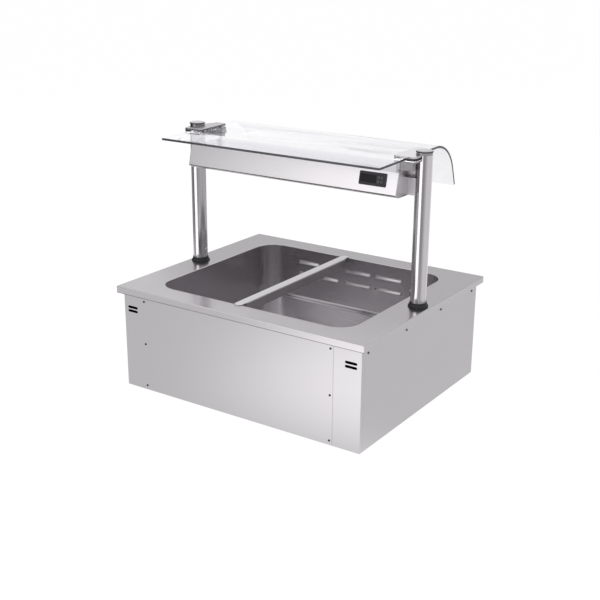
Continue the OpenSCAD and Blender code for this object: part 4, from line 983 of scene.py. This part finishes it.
post_strip("left_post", -POST_X, 0.01, 0.13, 0.40)
post_strip("left_post", -POST_X, 0.185, 0.345, 2.2)
post_strip("left_post", -POST_X, 0.42, 0.66, 0.12, 0.30)
post_strip("left_post", -POST_X, 0.66, 0.97, 0.30)
post_strip("right_post", POST_X, 0.02, 0.22, 0.25)
post_strip("right_post", POST_X, 0.27, 0.415, 2.2)
post_strip("right_post", POST_X, 0.56, 0.72, 0.10, 0.72)
post_strip("right_post", POST_X, 0.72, 0.91, 0.72)
post_strip("right_post", POST_X, 0.91, 0.995, 0.68)

# %% [markdown]
# The glass has to vanish against white, so what it mirrors must be white as well, while the deck
# under it needs a grey. A large linked card settles that. For every surface but the glass it is
# clear, which is why its shader adds light to a transparent sheet.

# %% White for the glass alone
white_for_glass = card("white_for_the_glass", (-0.6, 2.1, 1.3), 5.6, 2.6, (0, -1, 0), 0.34)
tree = white_for_glass.data.materials[0].node_tree
out = tree.nodes["Material Output"]
clear = add_node(tree, "ShaderNodeBsdfTransparent", inputs={"Color": WHITE})
both = add_node(tree, "ShaderNodeAddShader", inputs={
    0: out.inputs["Surface"].links[0].from_socket, 1: clear.outputs[0]})
tree.links.new(both.outputs[0], out.inputs["Surface"])
light_only(white_for_glass, [glass])

# %% [markdown]
# Three large soft lamps give the plain light: the key from the camera's side, a fill from the
# left, and one from above. Mirrors don't see them, so that the steel shows only the cards, the
# floor and the world.

# %% Lamps
def soft_lamp(name, place, aim, size, watts):
    data = bpy.data.lights.new(name, "AREA")
    data.energy, data.shape, data.size = watts, "SQUARE", size
    lamp = bpy.data.objects.new(name, data)
    bpy.context.scene.collection.objects.link(lamp)
    lamp.location = place
    lamp.visible_glossy = False
    lamp.rotation_euler = (Vector(aim) - Vector(place)).to_track_quat("-Z", "Y").to_euler()
    return lamp

soft_lamp("key_softbox", (1.6, -2.6, 2.4), (0, 0, 0.3), 1.6, 55)
soft_lamp("fill_softbox", (-2.2, -1.8, 2.2), (0, 0, 0.3), 2.0, 30)
soft_lamp("top_softbox", (0.2, 0.8, 2.8), (0, 0, 0.3), 2.0, 30)

# %% [markdown]
# The pale pads and the left lower plate lie in the shadow of the plates above them, yet the
# photograph shows them white. A lamp that lights only these, and that only the floor may shade,
# lifts them.

# %% A lamp for the pads
pad_lamp = soft_lamp("pad_fill", (0.3, -1.6, 1.9), (0, 0, 0.7), 1.0, 90)
light_only(pad_lamp, [bpy.data.objects[name] for name in (
    "left_rubber_pad", "right_rubber_pad", "left_under_plate")])
shading = bpy.data.collections.new("shading_pad_fill")
shading.objects.link(floor)
pad_lamp.light_linking.blocker_collection = shading

# %% [markdown]
# ## The camera
# The camera stands where the photograph was taken from: 3 m from the unit's middle, at the
# operator's right and half a metre above the glass. Its place, its direction and its lens come
# from fitting the deck's, casing's and posts' edges to the picture.

# %% Camera
azimuth, elevation, roll = math.radians(33.9375), math.radians(18.967), math.radians(0.365)
forward = Vector((-math.sin(azimuth) * math.cos(elevation), math.cos(azimuth) * math.cos(elevation),
                  -math.sin(elevation)))
right = Vector((math.cos(azimuth), math.sin(azimuth), 0))
up = right.cross(forward)
rolled_right = math.cos(roll) * right + math.sin(roll) * up
rolled_up = -math.sin(roll) * right + math.cos(roll) * up
lens = bpy.data.cameras.new("catalogue_camera")
lens.lens, lens.sensor_width = 63.138, 36
camera = bpy.data.objects.new("catalogue_camera", lens)
bpy.context.scene.collection.objects.link(camera)
basis = Matrix((rolled_right, rolled_up, -forward)).transposed().to_4x4()
camera.matrix_world = Matrix.Translation(CAMERA_PLACE) @ basis
bpy.context.scene.camera = camera
bpy.context.scene.view_settings.view_transform = "Standard"
print("camera at", [round(v, 3) for v in camera.location])
